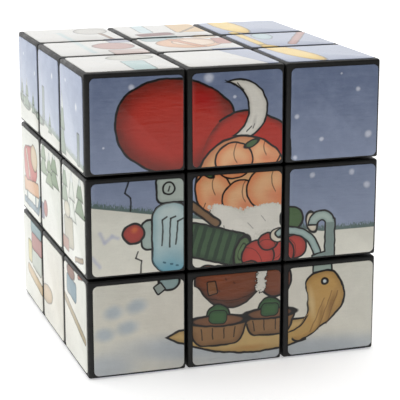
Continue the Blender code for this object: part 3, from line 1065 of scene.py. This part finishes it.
front.glow(19.4, -18.6, 1.1, 4.5, "#82592a", 0.75, tip, -18)
front.glow(17.4, -20.4, 0.7, 3.6, "#8d6531", 0.7, tip, -12)
front.glow(15.4, -18.0, 1.1, 5.0, "#dcc28c", 0.7, tip, 8)
front.strokes(
    [(20.7, -16.0, 18.5, -22.3), (19.5, -15.8, 16.8, -23.3), (18.0, -17.2, 15.2, -23.6)], 0.11, "#6f4a22",
    0.6
)
hole = front.oval(18.0, -13.8, 0.62, 0.55)
front.draw(hole, "#cfd6d6", None, half=0.24)
front.ink(front.arc(9.8, -18.2, 5.2, 0.01, -52, 24), 0.16)
print("toboggan page:", len(front.tree.nodes), "nodes")

# %% Baskets with green cloths
front.page("baskets")
BOWL = {
    -180: 5.2, -150: 4.7, -120: 3.3, -90: 2.9, -60: 3.3, -30: 4.7, 0: 5.2, 20: 5.8, 45: 2.8, 90: 2.0,
    135: 2.8
}
BOWL |= {160: 5.8, 180: 5.2}
BASKETS = [(6.9, -20.8, 0.88, 0), (-3.4, -21.5, 1.0, -4)]
for x, y, size, lean in BASKETS:
    rim = y + 2.0 * size
    front.draw(front.oval(x, rim + 0.9, 2.3, 2.3, lean), "#3a6136", "#25422a", 0.9, 0.7, 0.16)
    basket = front.blob(x, y, {angle: reach * size for angle, reach in BOWL.items()})
    front.draw(basket, "#926c44", "#65482a", 1.5, 0.6)
    front.draw(front.oval(x, rim, 5.7 * size, 1.1, lean / 2), "#7e5436", "#573823", 0.7, 0.6, 0.18)
    front.draw(front.slab(x, rim + 0.7, 1.75, 1.3, 0.9, lean), "#3a6136", "#25422a", 0.9, 0.6, 0.10)
    canes = [(x + step, y + 0.5, x + 0.9 * step, y - 1.5) for step in (-3.4, -1.2, 1.2, 3.4)]
    front.strokes(canes, 0.11)
print("baskets:", len(BASKETS))

# %% [markdown]
# ### The lamp and the handles
# Enamelled metal is pale, with a deeper blue where it curves away, so the lamp is made of rounded blocks
# with a glow low down. The handles are bent tube: part of a ring, joined to a straight block by the lesser
# of their distances.

# %% Teal lamp at the left
front.page("lamp")
lamp_cap = front.slab(-12.0, 6.6, 3.2, 2.6, 1.2)
front.draw(lamp_cap, "#adb7ae", "#87948d", 1.0, 0.6)
front.ink(front.oval(-12.9, 6.7, 1.15, 1.15), 0.17)
front.strokes([(-13.0, 6.2, -12.7, 7.1)], 0.15)
neck = front.slab(-16.6, -1.7, 1.5, 2.75, 1.3)
front.draw(neck, "#a3b2ab", "#7d8d88", 0.9, 0.5)
knob = front.oval(-19.6, -1.3, 2.0, 1.85)
front.draw(knob, "#a83a30", "#6e2a20", 1.0, 0.6)
front.glow(-19.4, -0.6, 1.0, 1.0, "#cf6a33", 0.8, knob)
lamp = front.slab(-12.5, -2.5, 3.6, 6.5, 3.0)
front.draw(lamp, "#b3c8c8", "#6f9aa2", 1.6, 0.6)
front.glow(-12.5, -9.0, 6.5, 6.5, "#5e9aad", 0.95, lamp)
front.glow(-13.0, 2.5, 4.0, 2.5, "#c9d2cd", 0.5, lamp)
front.strokes([(-14.1, 0.9, -14.2, -3.9), (-12.6, 1.0, -12.8, -4.3), (-11.2, 0.4, -11.6, -3.9)], 0.16)
front.strokes([(-14.1, 0.9, -13.3, 1.4), (-12.6, 1.0, -11.6, 1.3), (-11.2, 0.4, -10.0, 1.0)], 0.16)
front.strokes(
    [(-13.9, -7.2, -13.6, -7.3), (-12.6, -7.6, -12.3, -7.6), (-11.5, -7.9, -11.2, -7.9)], 0.18, "#2d5b6c"
)
front.strokes([(-20.4, 8.6, -21.2, 6.4), (-21.2, 6.4, -20.1, 5.4), (-20.1, 5.4, -20.1, 3.1)], 0.17)
front.strokes([(-18.8, -4.7, -19.3, -5.9), (-19.3, -5.9, -18.2, -6.5), (-18.2, -6.5, -18.3, -9.5)], 0.16)
foot = front.oval(-12.9, -11.0, 2.0, 1.6)
front.draw(foot, "#8fa5a3", "#6d8583", 0.7, 0.5)
front.draw(front.slab(-14.8, -12.1, 0.85, 0.85, 0.2, 35), "#adb7ae", "#87948d", 0.5, 0.5, 0.17)
print("lamp page:", len(front.tree.nodes), "nodes")

# %% Steering handles at the right
front.page("handles")
far_ring = front.oval(15.1, -1.9, 1.15, 2.05, 12)
front.draw(far_ring, "#d7cdba", "#a79d8a", 0.6, 0.5, 0.17)
handle = front.arc(17.1, -2.5, 1.75, 0.95, 90, 90).math("MINIMUM", front.slab(18.85, -5.7, 0.98, 4.2, 0.2))
handle = handle.math("MINIMUM", front.slab(16.9, -8.6, 1.6, 0.5, 0.2, 12))
near_handle = front.arc(10.4, -9.2, 6.0, 0.72, 62, 56)
front.draw(near_handle, "#9fb3ae", "#657f7c", 0.7, 0.6, 0.17)
front.draw(handle, "#a9bab2", "#657f7c", 0.8, 0.6, 0.18)
near_ring = front.oval(8.3, -3.9, 1.5, 1.3)
front.draw(near_ring.math("MAXIMUM", -front.oval(8.9, -3.6, 1.1, 0.8)), "#d7cdba", None, half=0.14)
print("handles page:", len(front.tree.nodes), "nodes")

# %% [markdown]
# ### Prints in the snow
# Prints are hollows full of blue shade, so they are ovals with a wide soft edge and no pen line. The
# picture is then done, and gets the finish of a printed label.

# %% Footprints and blue shadows in the snow
front.page("footprints")
for x, y, wide, tall, turn in (
    (-23.6, -15.9, 1.6, 1.2, 10), (-19.2, -15.1, 1.8, 1.2, 15), (-21.0, -19.1, 1.9, 1.2, 8),
    (-25.3, -20.0, 1.7, 1.2, 0)
):
    front.fill(front.oval(x, y, wide, tall, turn), "#b4bfc6", 0.8, 0.85)
front.fill(front.oval(-25.0, -26.6, 5.0, 2.6), "#b9c0c6", 1.6, 0.8)
for line in (
    (-25.9, -0.8, -25.0, -2.5), (-25.0, -2.5, -23.6, -1.4), (-23.6, -1.4, -22.6, -1.8),
    (-27.4, -5.2, -26.0, -7.1)
):
    front.fill(front.bar(*line, 0.30), "#b9bccb", 0.35, 0.75)
front_vinyl = front.print_finish()
print("front picture:", front_vinyl.name)

# %% [markdown]
# ## The other five pictures
# Every face has its own winter picture, drawn with the same shapes in the same pen and wash. A picture here
# is a table: each row is a shape, its measures in mm, its colour and the colour of its shading. The left
# face is a sledge run with two loaded sledges, and the top a pole with a paper lantern, seen beside a long
# yellow ribbon.

# %% A table of shapes
THIN_INK = 0.15


def plan(drawing, title, rows, depth=1.2, amount=0.55):
    """Draws one page of a picture from its rows, from back to front."""
    drawing.page(title)
    shapes = {"oval": drawing.oval, "slab": drawing.slab, "bar": drawing.bar}
    for kind, measures, code, shade in rows:
        drawing.draw(shapes[kind](*measures), code, shade, depth, amount, THIN_INK)


def fir(drawing, x, y, wide, tall, code, shade):
    """A fir tree: two skirts of branches above each other, with snow on the upper one."""
    tiers = []
    for step, share in ((0.0, 1.0), (0.40, 0.70)):
        lean = math.degrees(math.atan2(wide * share, tall * 0.60))
        tip = y + tall * (step + 0.60)
        tier = drawing.side(x, tip, lean).math("MAXIMUM", drawing.side(x, tip, 180 - lean))
        tiers.append(tier.math("MAXIMUM", drawing.side(x, y + tall * step, -90)))
    drawing.draw(tiers[0], code, shade, 1.0, 0.6, THIN_INK)
    drawing.draw(tiers[1], code, shade, 1.0, 0.6, THIN_INK)
    drawing.fill(
        tiers[1] + drawing.side(x, y + tall * 0.72, -90).smooth(-0.6, 0.6, 0, 3), "#dfe4e2", 0.3, 0.8
    )


print("tables and firs are ready")

# %% Draw the left
left = Drawing("left_picture", (0, -1, 0), (0, 0, 1), pen=0.55)
winter_ground(left, "#a3aec6", "#b9c2d2", (13.0, -0.08, None), "#93a191", "#e3e5dc")
flakes(
    left, [(-12.5, 22.0, 0.4), (3.5, 24.0, 0.5), (22.8, 21.5, 0.6), (-23.0, 24.5, 0.3), (14.8, 25.2, 0.35)],
    "#e4e7ec"
)
plan(left, "hills", [
    ("oval", (-22.4, 14.6, 5.0, 1.1, -5), "#a4b1a2", "#7d8d7b"),
    ("oval", (-8.4, 13.6, 3.6, 0.8, -5), "#a4b1a2", "#7d8d7b"),
    ("slab", (-4.6, 17.4, 0.9, 3.4, 0.3), "#9aa7a4", "#7e8b88"),
    ("slab", (24.1, 13.9, 0.9, 3.0, 0.3), "#98a49f", "#7e8b86"),
], 0.8)
left.page("far_firs")
for x, y, wide, tall in (
    (-25.2, 14.4, 1.6, 4.6), (-20.4, 14.0, 2.0, 5.6), (-14.4, 13.6, 1.5, 4.2), (0.8, 12.4, 1.4, 3.8)
):
    fir(left, x, y, wide, tall, "#97a696", "#788a76")
left.page("firs")
fir(left, 11.8, 10.9, 2.6, 11.6, "#8fa08c", "#6f8470")
fir(left, -6.0, 3.0, 3.4, 7.4, "#98a98d", "#75896b")
fir(left, 3.4, 2.4, 4.4, 7.2, "#8fa285", "#6d8163")
fir(left, -0.8, 1.6, 3.4, 6.6, "#a2b195", "#7c8f70")
left.page("more_firs")
fir(left, 12.4, 1.8, 3.2, 7.8, "#94a58d", "#718568")
fir(left, 24.4, 1.6, 3.8, 7.6, "#91a389", "#6f8366")
fir(left, 18.0, -0.6, 3.4, 9.6, "#dfe3da", "#b3bdae")
plan(left, "red_sledge", [
    ("bar", (-25.0, -6.6, -12.2, -6.6, 0.7), "#8fa3ac", "#6c838e"),
    ("bar", (-12.2, -6.6, -10.2, -3.6, 0.7), "#8fa3ac", "#6c838e"),
    ("bar", (-22.6, -6.2, -22.6, -3.6, 0.4), "#8fa3ac", "#6c838e"),
    ("bar", (-14.4, -6.2, -14.4, -3.6, 0.4), "#8fa3ac", "#6c838e"),
    ("slab", (-18.2, -2.6, 7.0, 1.5, 0.6, 4), "#e3bd9c", "#c08f66"),
    ("slab", (-18.8, 2.2, 6.2, 3.6, 2.6, 8), "#cd8780", "#b05a55"),
    ("oval", (-15.2, 4.0, 3.2, 2.6, -20), "#dccbb0", "#b59b74"),
    ("bar", (-22.6, 4.4, -19.8, -0.6, 0.5), "#e8ddcf", "#b9a48c"),
])
plan(left, "middle_things", [
    ("slab", (-8.1, -5.0, 1.8, 1.6, 0.6), "#77798f", "#565a74"),
    ("oval", (-4.9, -4.0, 1.7, 1.7), "#b56a5e", "#8c4339"),
    ("slab", (15.4, -3.6, 3.6, 3.0, 1.0, 6), "#b9b49e", "#8e8973"),
    ("oval", (14.2, 0.6, 2.4, 1.6), "#d2ccb6", "#a59f88"),
    ("slab", (12.6, -6.3, 2.6, 1.2, 0.5), "#b98c78", "#8e5f4c"),
    ("bar", (20.2, -7.6, 26.0, -6.4, 0.45), "#ad9a7c", "#86714f"),
])
plan(left, "blue_sledge", [
    ("bar", (10.4, -17.3, 26.6, -21.6, 0.75), "#b3a483", "#8c7b57"),
    ("slab", (16.4, -14.2, 3.9, 1.9, 0.9, -4), "#8098a2", "#5f7a86"),
    ("oval", (16.0, -11.2, 3.1, 1.3), "#8f6a58", "#6a4534"),
    ("bar", (22.0, -10.4, 25.4, -9.6, 0.6), "#b07a68", "#8a5242"),
    ("oval", (-5.4, -22.0, 4.9, 1.9, 8), "#c9b18e", "#a0835a"),
])
plan(left, "teal_blanket", [
    ("bar", (-23.0, -21.4, -10.2, -23.0, 1.1), "#cdb791", "#a48a5e"),
    ("slab", (-21.4, -17.2, 1.8, 2.4, 0.8), "#d8d0a0", "#aca268"),
    ("slab", (-15.0, -17.6, 4.6, 2.6, 1.2, -4), "#cdd2c8", "#a3aa9c"),
    ("slab", (-14.8, -14.2, 4.9, 1.9, 0.9), "#bd918c", "#966460"),
    ("slab", (-15.2, -11.0, 5.0, 1.5, 0.8), "#98aeb0", "#738d90"),
])
left_vinyl = left.print_finish()
print("left picture:", left_vinyl.name)

# %% Draw the top
top = Drawing("top_picture", (1, 0, 0), (0, 1, 0), pen=0.5)
top.page("ground")
top.colour = top.mix(top.wash.smooth(0.3, 0.8) * 0.5, paint("#e4e2dc"), paint("#d6d8d8"))
dusk = top.side(4.2, -17.6, 192.8).math("MAXIMUM", top.side(9.6, -7.6, 90))
dusk = dusk.math("MINIMUM", top.side(9.6, 10, 180))
top.fill(dusk, "#a9b2c8", 0.1)
top.tone(dusk, "#98a2bb", 6.0, 0.5)
top.ink(dusk, 0.08, 0.6)
top.fill(top.bar(-21.2, 22.0, -20.6, -6.0, 0.5), "#bcd4d6", 0.7, 0.8)
plan(top, "lantern_pole", [
    ("slab", (-16.6, -22.4, 2.2, 5.0, 0.5), "#bcd6d4", "#96b8b8"),
    ("oval", (-14.4, 22.8, 3.4, 4.4, -12), "#cfccc4", "#a29c92"),
    ("bar", (-13.2, 19.0, -12.4, 9.0, 0.4), "#a87c58", "#7e5636"),
    ("slab", (-12.4, 8.2, 2.2, 2.8, 0.8), "#a0a3b6", "#7d8198"),
    ("oval", (-15.0, 1.4, 4.1, 4.3), "#b98a80", "#8e5c54"),
])
plan(top, "lantern_foot", [
    ("slab", (-13.8, -6.6, 3.6, 3.0, 0.8), "#d8c4bb", "#b0948a"),
    ("oval", (-16.0, -13.6, 4.4, 3.0), "#cbcabd", "#a3a291"),
    ("bar", (-3.3, 27.5, -3.6, 18.0, 1.4), "#c9dde0", None),
    ("slab", (6.4, 21.8, 3.7, 6.0, 0.6, -4), "#e6c48c", "#c4965a"),
    ("bar", (3.2, 15.8, 9.0, 24.0, 0.25), "#a9855a", None),
    ("slab", (-2.8, 14.2, 3.9, 1.9, 0.9, 10), "#8d5e5c", "#6a403f"),
])
plan(top, "basket", [
    ("slab", (-3.4, 8.0, 4.4, 3.0, 1.0, 6), "#96aeae", "#728e90"),
    ("oval", (0.2, 0.8, 6.6, 6.2, 20), "#e0ae84", "#c07c50"),
    ("oval", (1.4, 1.6, 4.2, 4.4, 20), "#ecd3b8", "#d0a07a"),
    ("bar", (-1.8, 6.2, 1.4, -4.2, 0.9), "#d99a70", "#b8734a"),
    ("slab", (7.4, 2.0, 1.5, 4.0, 0.8, -6), "#c07a6a", "#98503f"),
    ("oval", (5.6, 8.6, 2.6, 2.2), "#e0c9a8", "#bd9a6c"),
])
plan(top, "yellow_ribbon", [
    ("bar", (13.3, 12.0, 13.3, -6.0, 0.9), "#efcf62", "#c99f3a"),
    ("oval", (15.4, 21.6, 2.8, 11.0, 2), "#f2d068", "#cf9f3c"),
    ("oval", (15.4, -16.6, 2.6, 11.0, 11), "#f2d068", "#cf9f3c"),
    ("oval", (17.2, 5.2, 2.0, 4.4, -8), "#aec6cc", "#8aa8b2"),
    ("bar", (27.4, 9.0, 19.4, -6.2, 0.9), "#bf8f88", "#986660"),
])
top_vinyl = top.print_finish()
print("top picture:", top_vinyl.name)

# %% [markdown]
# ## Right, back and bottom
# These three show a cabin between firs, a striped balloon over the hills, and a frozen pond with a fence.
# They carry on the same sky, snow and pen line, so that a turned face mixes pictures of one kind.

# %% Draw the right
right = Drawing("right_picture", (0, 1, 0), (0, 0, 1))
winter_ground(right, "#6d7a97", "#8b96ae", (-2.0, 0.10, None), "#4a6152", "#dddbd0")
flakes(right, [(-22.5, 22.0, 0.5), (-8.0, 25.0, 0.4), (5.0, 21.0, 0.6)])
flakes(right, [(21.5, 24.5, 0.4), (15.5, 16.0, 0.5), (-15.0, 12.5, 0.4)])
right.page("firs")
fir(right, -20.5, -3.5, 6.2, 21.0, "#48633c", "#2b472b")
fir(right, -11.5, -4.5, 4.4, 14.5, "#52704a", "#304d30")
fir(right, 22.0, 0.0, 5.6, 19.5, "#48633c", "#2b472b")
plan(right, "cabin", [
    ("slab", (12.6, 12.6, 1.6, 4.4, 0.2), "#8e6a5a", "#5f4234"),
    ("slab", (5.4, -1.0, 9.4, 6.6, 0.3), "#8a5a38", "#573823"),
    ("slab", (0.6, -2.6, 2.4, 4.6, 0.3), "#3d593a", "#1f3321"),
    ("slab", (9.6, -0.6, 2.6, 2.4, 0.2), "#e2b65a", "#b07f35"),
    ("bar", (-6.4, 4.8, 5.4, 13.0, 1.5), "#dedacf", "#a8a9ac"),
    ("bar", (17.2, 4.8, 5.4, 13.0, 1.5), "#dedacf", "#a8a9ac"),
])
right.page("path_and_lines")
for x, y in (
    (0.4, -9.6), (2.0, -11.8), (0.2, -14.0), (2.2, -16.6), (-0.6, -19.4), (1.8, -22.6), (-2.0, -25.0)
):
    right.fill(right.oval(x, y, 0.9, 0.55, 20), "#b4bfc6", 0.4, 0.9)
for height in (-5.4, -3.2, 1.2, 3.4):
    right.strokes(
        [(-3.4, height, -2.2, height), (3.4, height, 6.6, height), (12.6, height, 14.4, height)], 0.09
    )
right.strokes([(9.6, 1.6, 9.6, -2.8), (7.2, -0.6, 12.0, -0.6), (2.2, -2.4, 2.2, -2.9)], 0.16)
plan(right, "foreground", [
    ("bar", (-24.0, -14.6, -8.0, -13.4, 0.8), "#c9a96f", "#96743c"),
    ("bar", (-24.0, -18.0, -8.0, -16.8, 0.8), "#c9a96f", "#96743c"),
    ("slab", (-22.0, -16.6, 0.9, 4.6, 0.4), "#b8945a", "#84632f"),
    ("slab", (-10.4, -15.6, 0.9, 4.6, 0.4), "#b8945a", "#84632f"),
    ("bar", (3.4, -20.4, 19.4, -19.0, 0.6), "#96743c", "#6b5028"),
    ("bar", (19.4, -19.0, 21.6, -15.8, 0.6), "#96743c", "#6b5028"),
    ("slab", (11.0, -16.8, 7.6, 0.8, 0.5, 5), "#c9a96f", "#96743c"),
    ("slab", (9.6, -13.2, 4.8, 2.6, 1.2, 5), "#ae3123", "#6f2a1c"),
    ("bar", (9.8, -10.8, 9.4, -15.6, 0.45), "#dedacf", None),
])
right_vinyl = right.print_finish()
print("right picture:", right_vinyl.name)

# %% Draw the back
back = Drawing("back_picture", (-1, 0, 0), (0, 0, 1))
winter_ground(back, "#5f7094", "#98a3b8", (-7.0, 0.06, None), "#4a6152", "#e0ded1")
flakes(back, [(-23.0, 18.0, 0.5), (-16.0, 24.5, 0.4), (16.5, 22.0, 0.5)])
flakes(back, [(23.5, 12.0, 0.6), (-20.5, 5.5, 0.5), (18.5, 2.0, 0.4)])
back.page("balloon")
envelope = back.oval(0.0, 12.0, 11.5, 12.6).math("SMOOTH_MIN", back.slab(0.0, 0.6, 3.0, 2.6, 0.8), 2.0)
back.draw(envelope, "#ae3123", "#6f2a1c", 2.6, 0.7)
for half_width in (8.0, 2.8):
    gore = abs(back.oval(0.0, 11.2, half_width, 13.6)) - 1.1
    back.fill(gore.math("MAXIMUM", envelope + 0.2), "#dedacf", 0.1, 0.9)
back.ink(envelope, 0.2)
back.strokes([(-2.2, -1.6, -1.5, -6.0), (2.2, -1.6, 1.5, -6.0)], 0.13)
plan(back, "basket", [
    ("slab", (0.0, -7.6, 2.3, 1.9, 0.5), "#b8945a", "#84632f"),
    ("slab", (0.0, -5.9, 2.7, 0.5, 0.4), "#7c4329", "#472c22"),
])
back.page("drifts")
for x, y, wide, tall, turn in (
    (-9.0, -14.0, 9.0, 1.6, 5), (12.0, -23.8, 10.0, 1.8, -4), (-12.0, -25.4, 9.0, 1.8, 3)
):
    back.fill(back.oval(x, y, wide, tall, turn), "#bcc6cd", 1.2, 0.8)
back.strokes(
    [(-16.0, -12.6, -4.0, -11.4), (-15.0, -14.4, -3.0, -13.2), (2.0, -12.4, 12.0, -11.2)], 0.12, "#9aa9b8",
    0.7
)
back.page("firs")
fir(back, -19.5, -9.5, 4.6, 13.0, "#48633c", "#2b472b")
fir(back, 16.5, -8.0, 4.0, 11.0, "#52704a", "#304d30")
fir(back, 23.0, -9.0, 4.6, 13.5, "#48633c", "#2b472b")
plan(back, "foreground", [
    ("bar", (4.6, -20.6, 12.6, -20.0, 0.9), "#8a5a38", "#573823"),
    ("bar", (6.0, -18.4, 13.6, -17.8, 0.9), "#936241", "#5f4029"),
    ("bar", (7.6, -16.2, 12.2, -15.8, 0.9), "#8a5a38", "#573823"),
    ("slab", (-22.0, -20.0, 2.6, 2.6, 0.6, 6), "#3d593a", "#1f3321"),
    ("bar", (-22.0, -17.6, -22.3, -22.4, 0.35), "#c9a96f", None),
    ("bar", (-24.4, -20.2, -19.6, -19.8, 0.35), "#c9a96f", None),
])
back_vinyl = back.print_finish()
print("back picture:", back_vinyl.name)

# %% Draw the bottom
bottom = Drawing("bottom_picture", (1, 0, 0), (0, -1, 0))
winter_ground(bottom, "#7f8ba6", "#9aa5ba", (13.0, 0.05, None), "#4a6152", "#dddbd0")
bottom.page("pond")
pond = bottom.blob(
    0.0, -5.0,
    {-180: 22.0, -140: 20.0, -90: 13.0, -40: 20.5, 0: 23.5, 40: 16.5, 90: 11.0, 140: 15.5, 180: 22.0}
)
bottom.draw(pond, "#93abb9", "#6c8798", 2.6, 0.7)
bottom.glow(-6.0, -3.0, 10.0, 5.0, "#c3d3da", 0.7, pond, 12)
bottom.strokes(
    [(-12.0, -9.0, -4.0, -6.0), (4.0, -12.0, 14.0, -9.5), (-6.0, 1.0, 6.0, 3.0), (8.0, -2.0, 15.0, -4.5)],
    0.14, "#dfe7ea"
)
bottom.page("star")
for turn in (0, 60, 120):
    arm_x, arm_y = 6.2 * math.cos(math.radians(turn + 30)), 6.2 * math.sin(math.radians(turn + 30))
    bottom.fill(bottom.bar(-arm_x, -5.0 - arm_y, arm_x, -5.0 + arm_y, 0.45), "#eef2f3", 0.1, 0.9)
    for way in (1, -1):
        x, y = way * arm_x * 0.6, -5.0 + way * arm_y * 0.6
        reach_x, reach_y = way * math.cos(math.radians(turn)), way * math.sin(math.radians(turn))
        bottom.fill(bottom.bar(x, y, x + 2.4 * reach_x, y + 2.4 * reach_y, 0.35), "#eef2f3", 0.1, 0.9)
bottom.page("firs")
fir(bottom, -22.0, 10.0, 4.2, 13.0, "#48633c", "#2b472b")
fir(bottom, -14.0, 11.0, 3.4, 10.0, "#52704a", "#304d30")
fir(bottom, 20.5, 11.5, 4.4, 12.5, "#48633c", "#2b472b")
plan(bottom, "fence", [
    ("bar", (-26.0, -21.0, 26.0, -20.0, 0.7), "#c9a96f", "#96743c"),
    ("bar", (-26.0, -24.4, 26.0, -23.4, 0.7), "#c9a96f", "#96743c"),
    ("slab", (-19.0, -22.6, 1.0, 3.6, 0.4), "#b8945a", "#84632f"),
    ("slab", (0.0, -22.2, 1.0, 3.6, 0.4), "#b8945a", "#84632f"),
    ("slab", (19.0, -21.8, 1.0, 3.6, 0.4), "#b8945a", "#84632f"),
], 0.6)
bottom_vinyl = bottom.print_finish()
print("bottom picture:", bottom_vinyl.name)

# %% [markdown]
# ## Applying the labels
# Labels are stuck on by hand, one to a cubie, so each face's labels sit a little off its middle together,
# and each one by itself is set down up to 0.06 mm and 0.35 degrees off true. The picture is fixed to the
# face, and a label shows the part that it covers. The random numbers have a fixed start, so the cube comes
# out the same each time.

# %% Apply labels
FACES = {
    "front": ((0, -1, 0), (1, 0, 0), (0, 0, 1)),
    "back": ((0, 1, 0), (-1, 0, 0), (0, 0, 1)),
    "left": ((-1, 0, 0), (0, -1, 0), (0, 0, 1)),
    "right": ((1, 0, 0), (0, 1, 0), (0, 0, 1)),
    "top": ((0, 0, 1), (1, 0, 0), (0, 1, 0)),
    "bottom": ((0, 0, -1), (1, 0, 0), (0, -1, 0)),
}
SHEET_SHIFT = {
    "front": (0.32, -0.22), "left": (0.05, 0.0), "top": (0.1, 0.1), "right": (-0.1, 0.1), "back": (0.1, 0.0)
}
VINYLS = {"front": front_vinyl, "left": left_vinyl, "top": top_vinyl}
VINYLS |= {"right": right_vinyl, "back": back_vinyl, "bottom": bottom_vinyl}
HAND_SLIP = 0.06  # mm
HAND_TWIST = 0.35  # degrees

hand = random.Random(7)
for face, (out, right, up) in FACES.items():
    basis = Matrix((right, up, out)).transposed().to_4x4()
    slide_x, slide_y = SHEET_SHIFT.get(face, (0.0, 0.1))
    for column, row in itertools.product((-1, 0, 1), repeat=2):
        cell = tuple(round(a) for a in Vector(out) + column * Vector(right) + row * Vector(up))
        label = bpy.data.objects.new(f"label_{face}_{place_name(cell)}", pattern.data.copy())
        shift = Vector((column * PITCH, row * PITCH, 0)) + Vector((slide_x, slide_y, 0)) * MM
        shift += Vector((hand.uniform(-HAND_SLIP, HAND_SLIP), hand.uniform(-HAND_SLIP, HAND_SLIP), 0)) * MM
        twist = Matrix.Rotation(math.radians(hand.uniform(-HAND_TWIST, HAND_TWIST)), 4, "Z")
        label.data.transform(basis @ Matrix.Translation(shift) @ twist)
        label.data.materials.clear()
        label.data.materials.append(VINYLS[face])
        label.data.materials.append(label_side)
        bpy.context.scene.collection.objects.link(label)
        ride_cell(label, cell)
bpy.data.objects.remove(pattern, do_unlink=True)
print("labels on", len(FACES), "faces")

# %% [markdown]
# ## Updating the scene
# The finished cube has to be the CAD model's size, apart from the thickness of a label on each face. The last
# line brings the scene up to date.

# %% Update the scene at the end
bpy.context.view_layer.update()
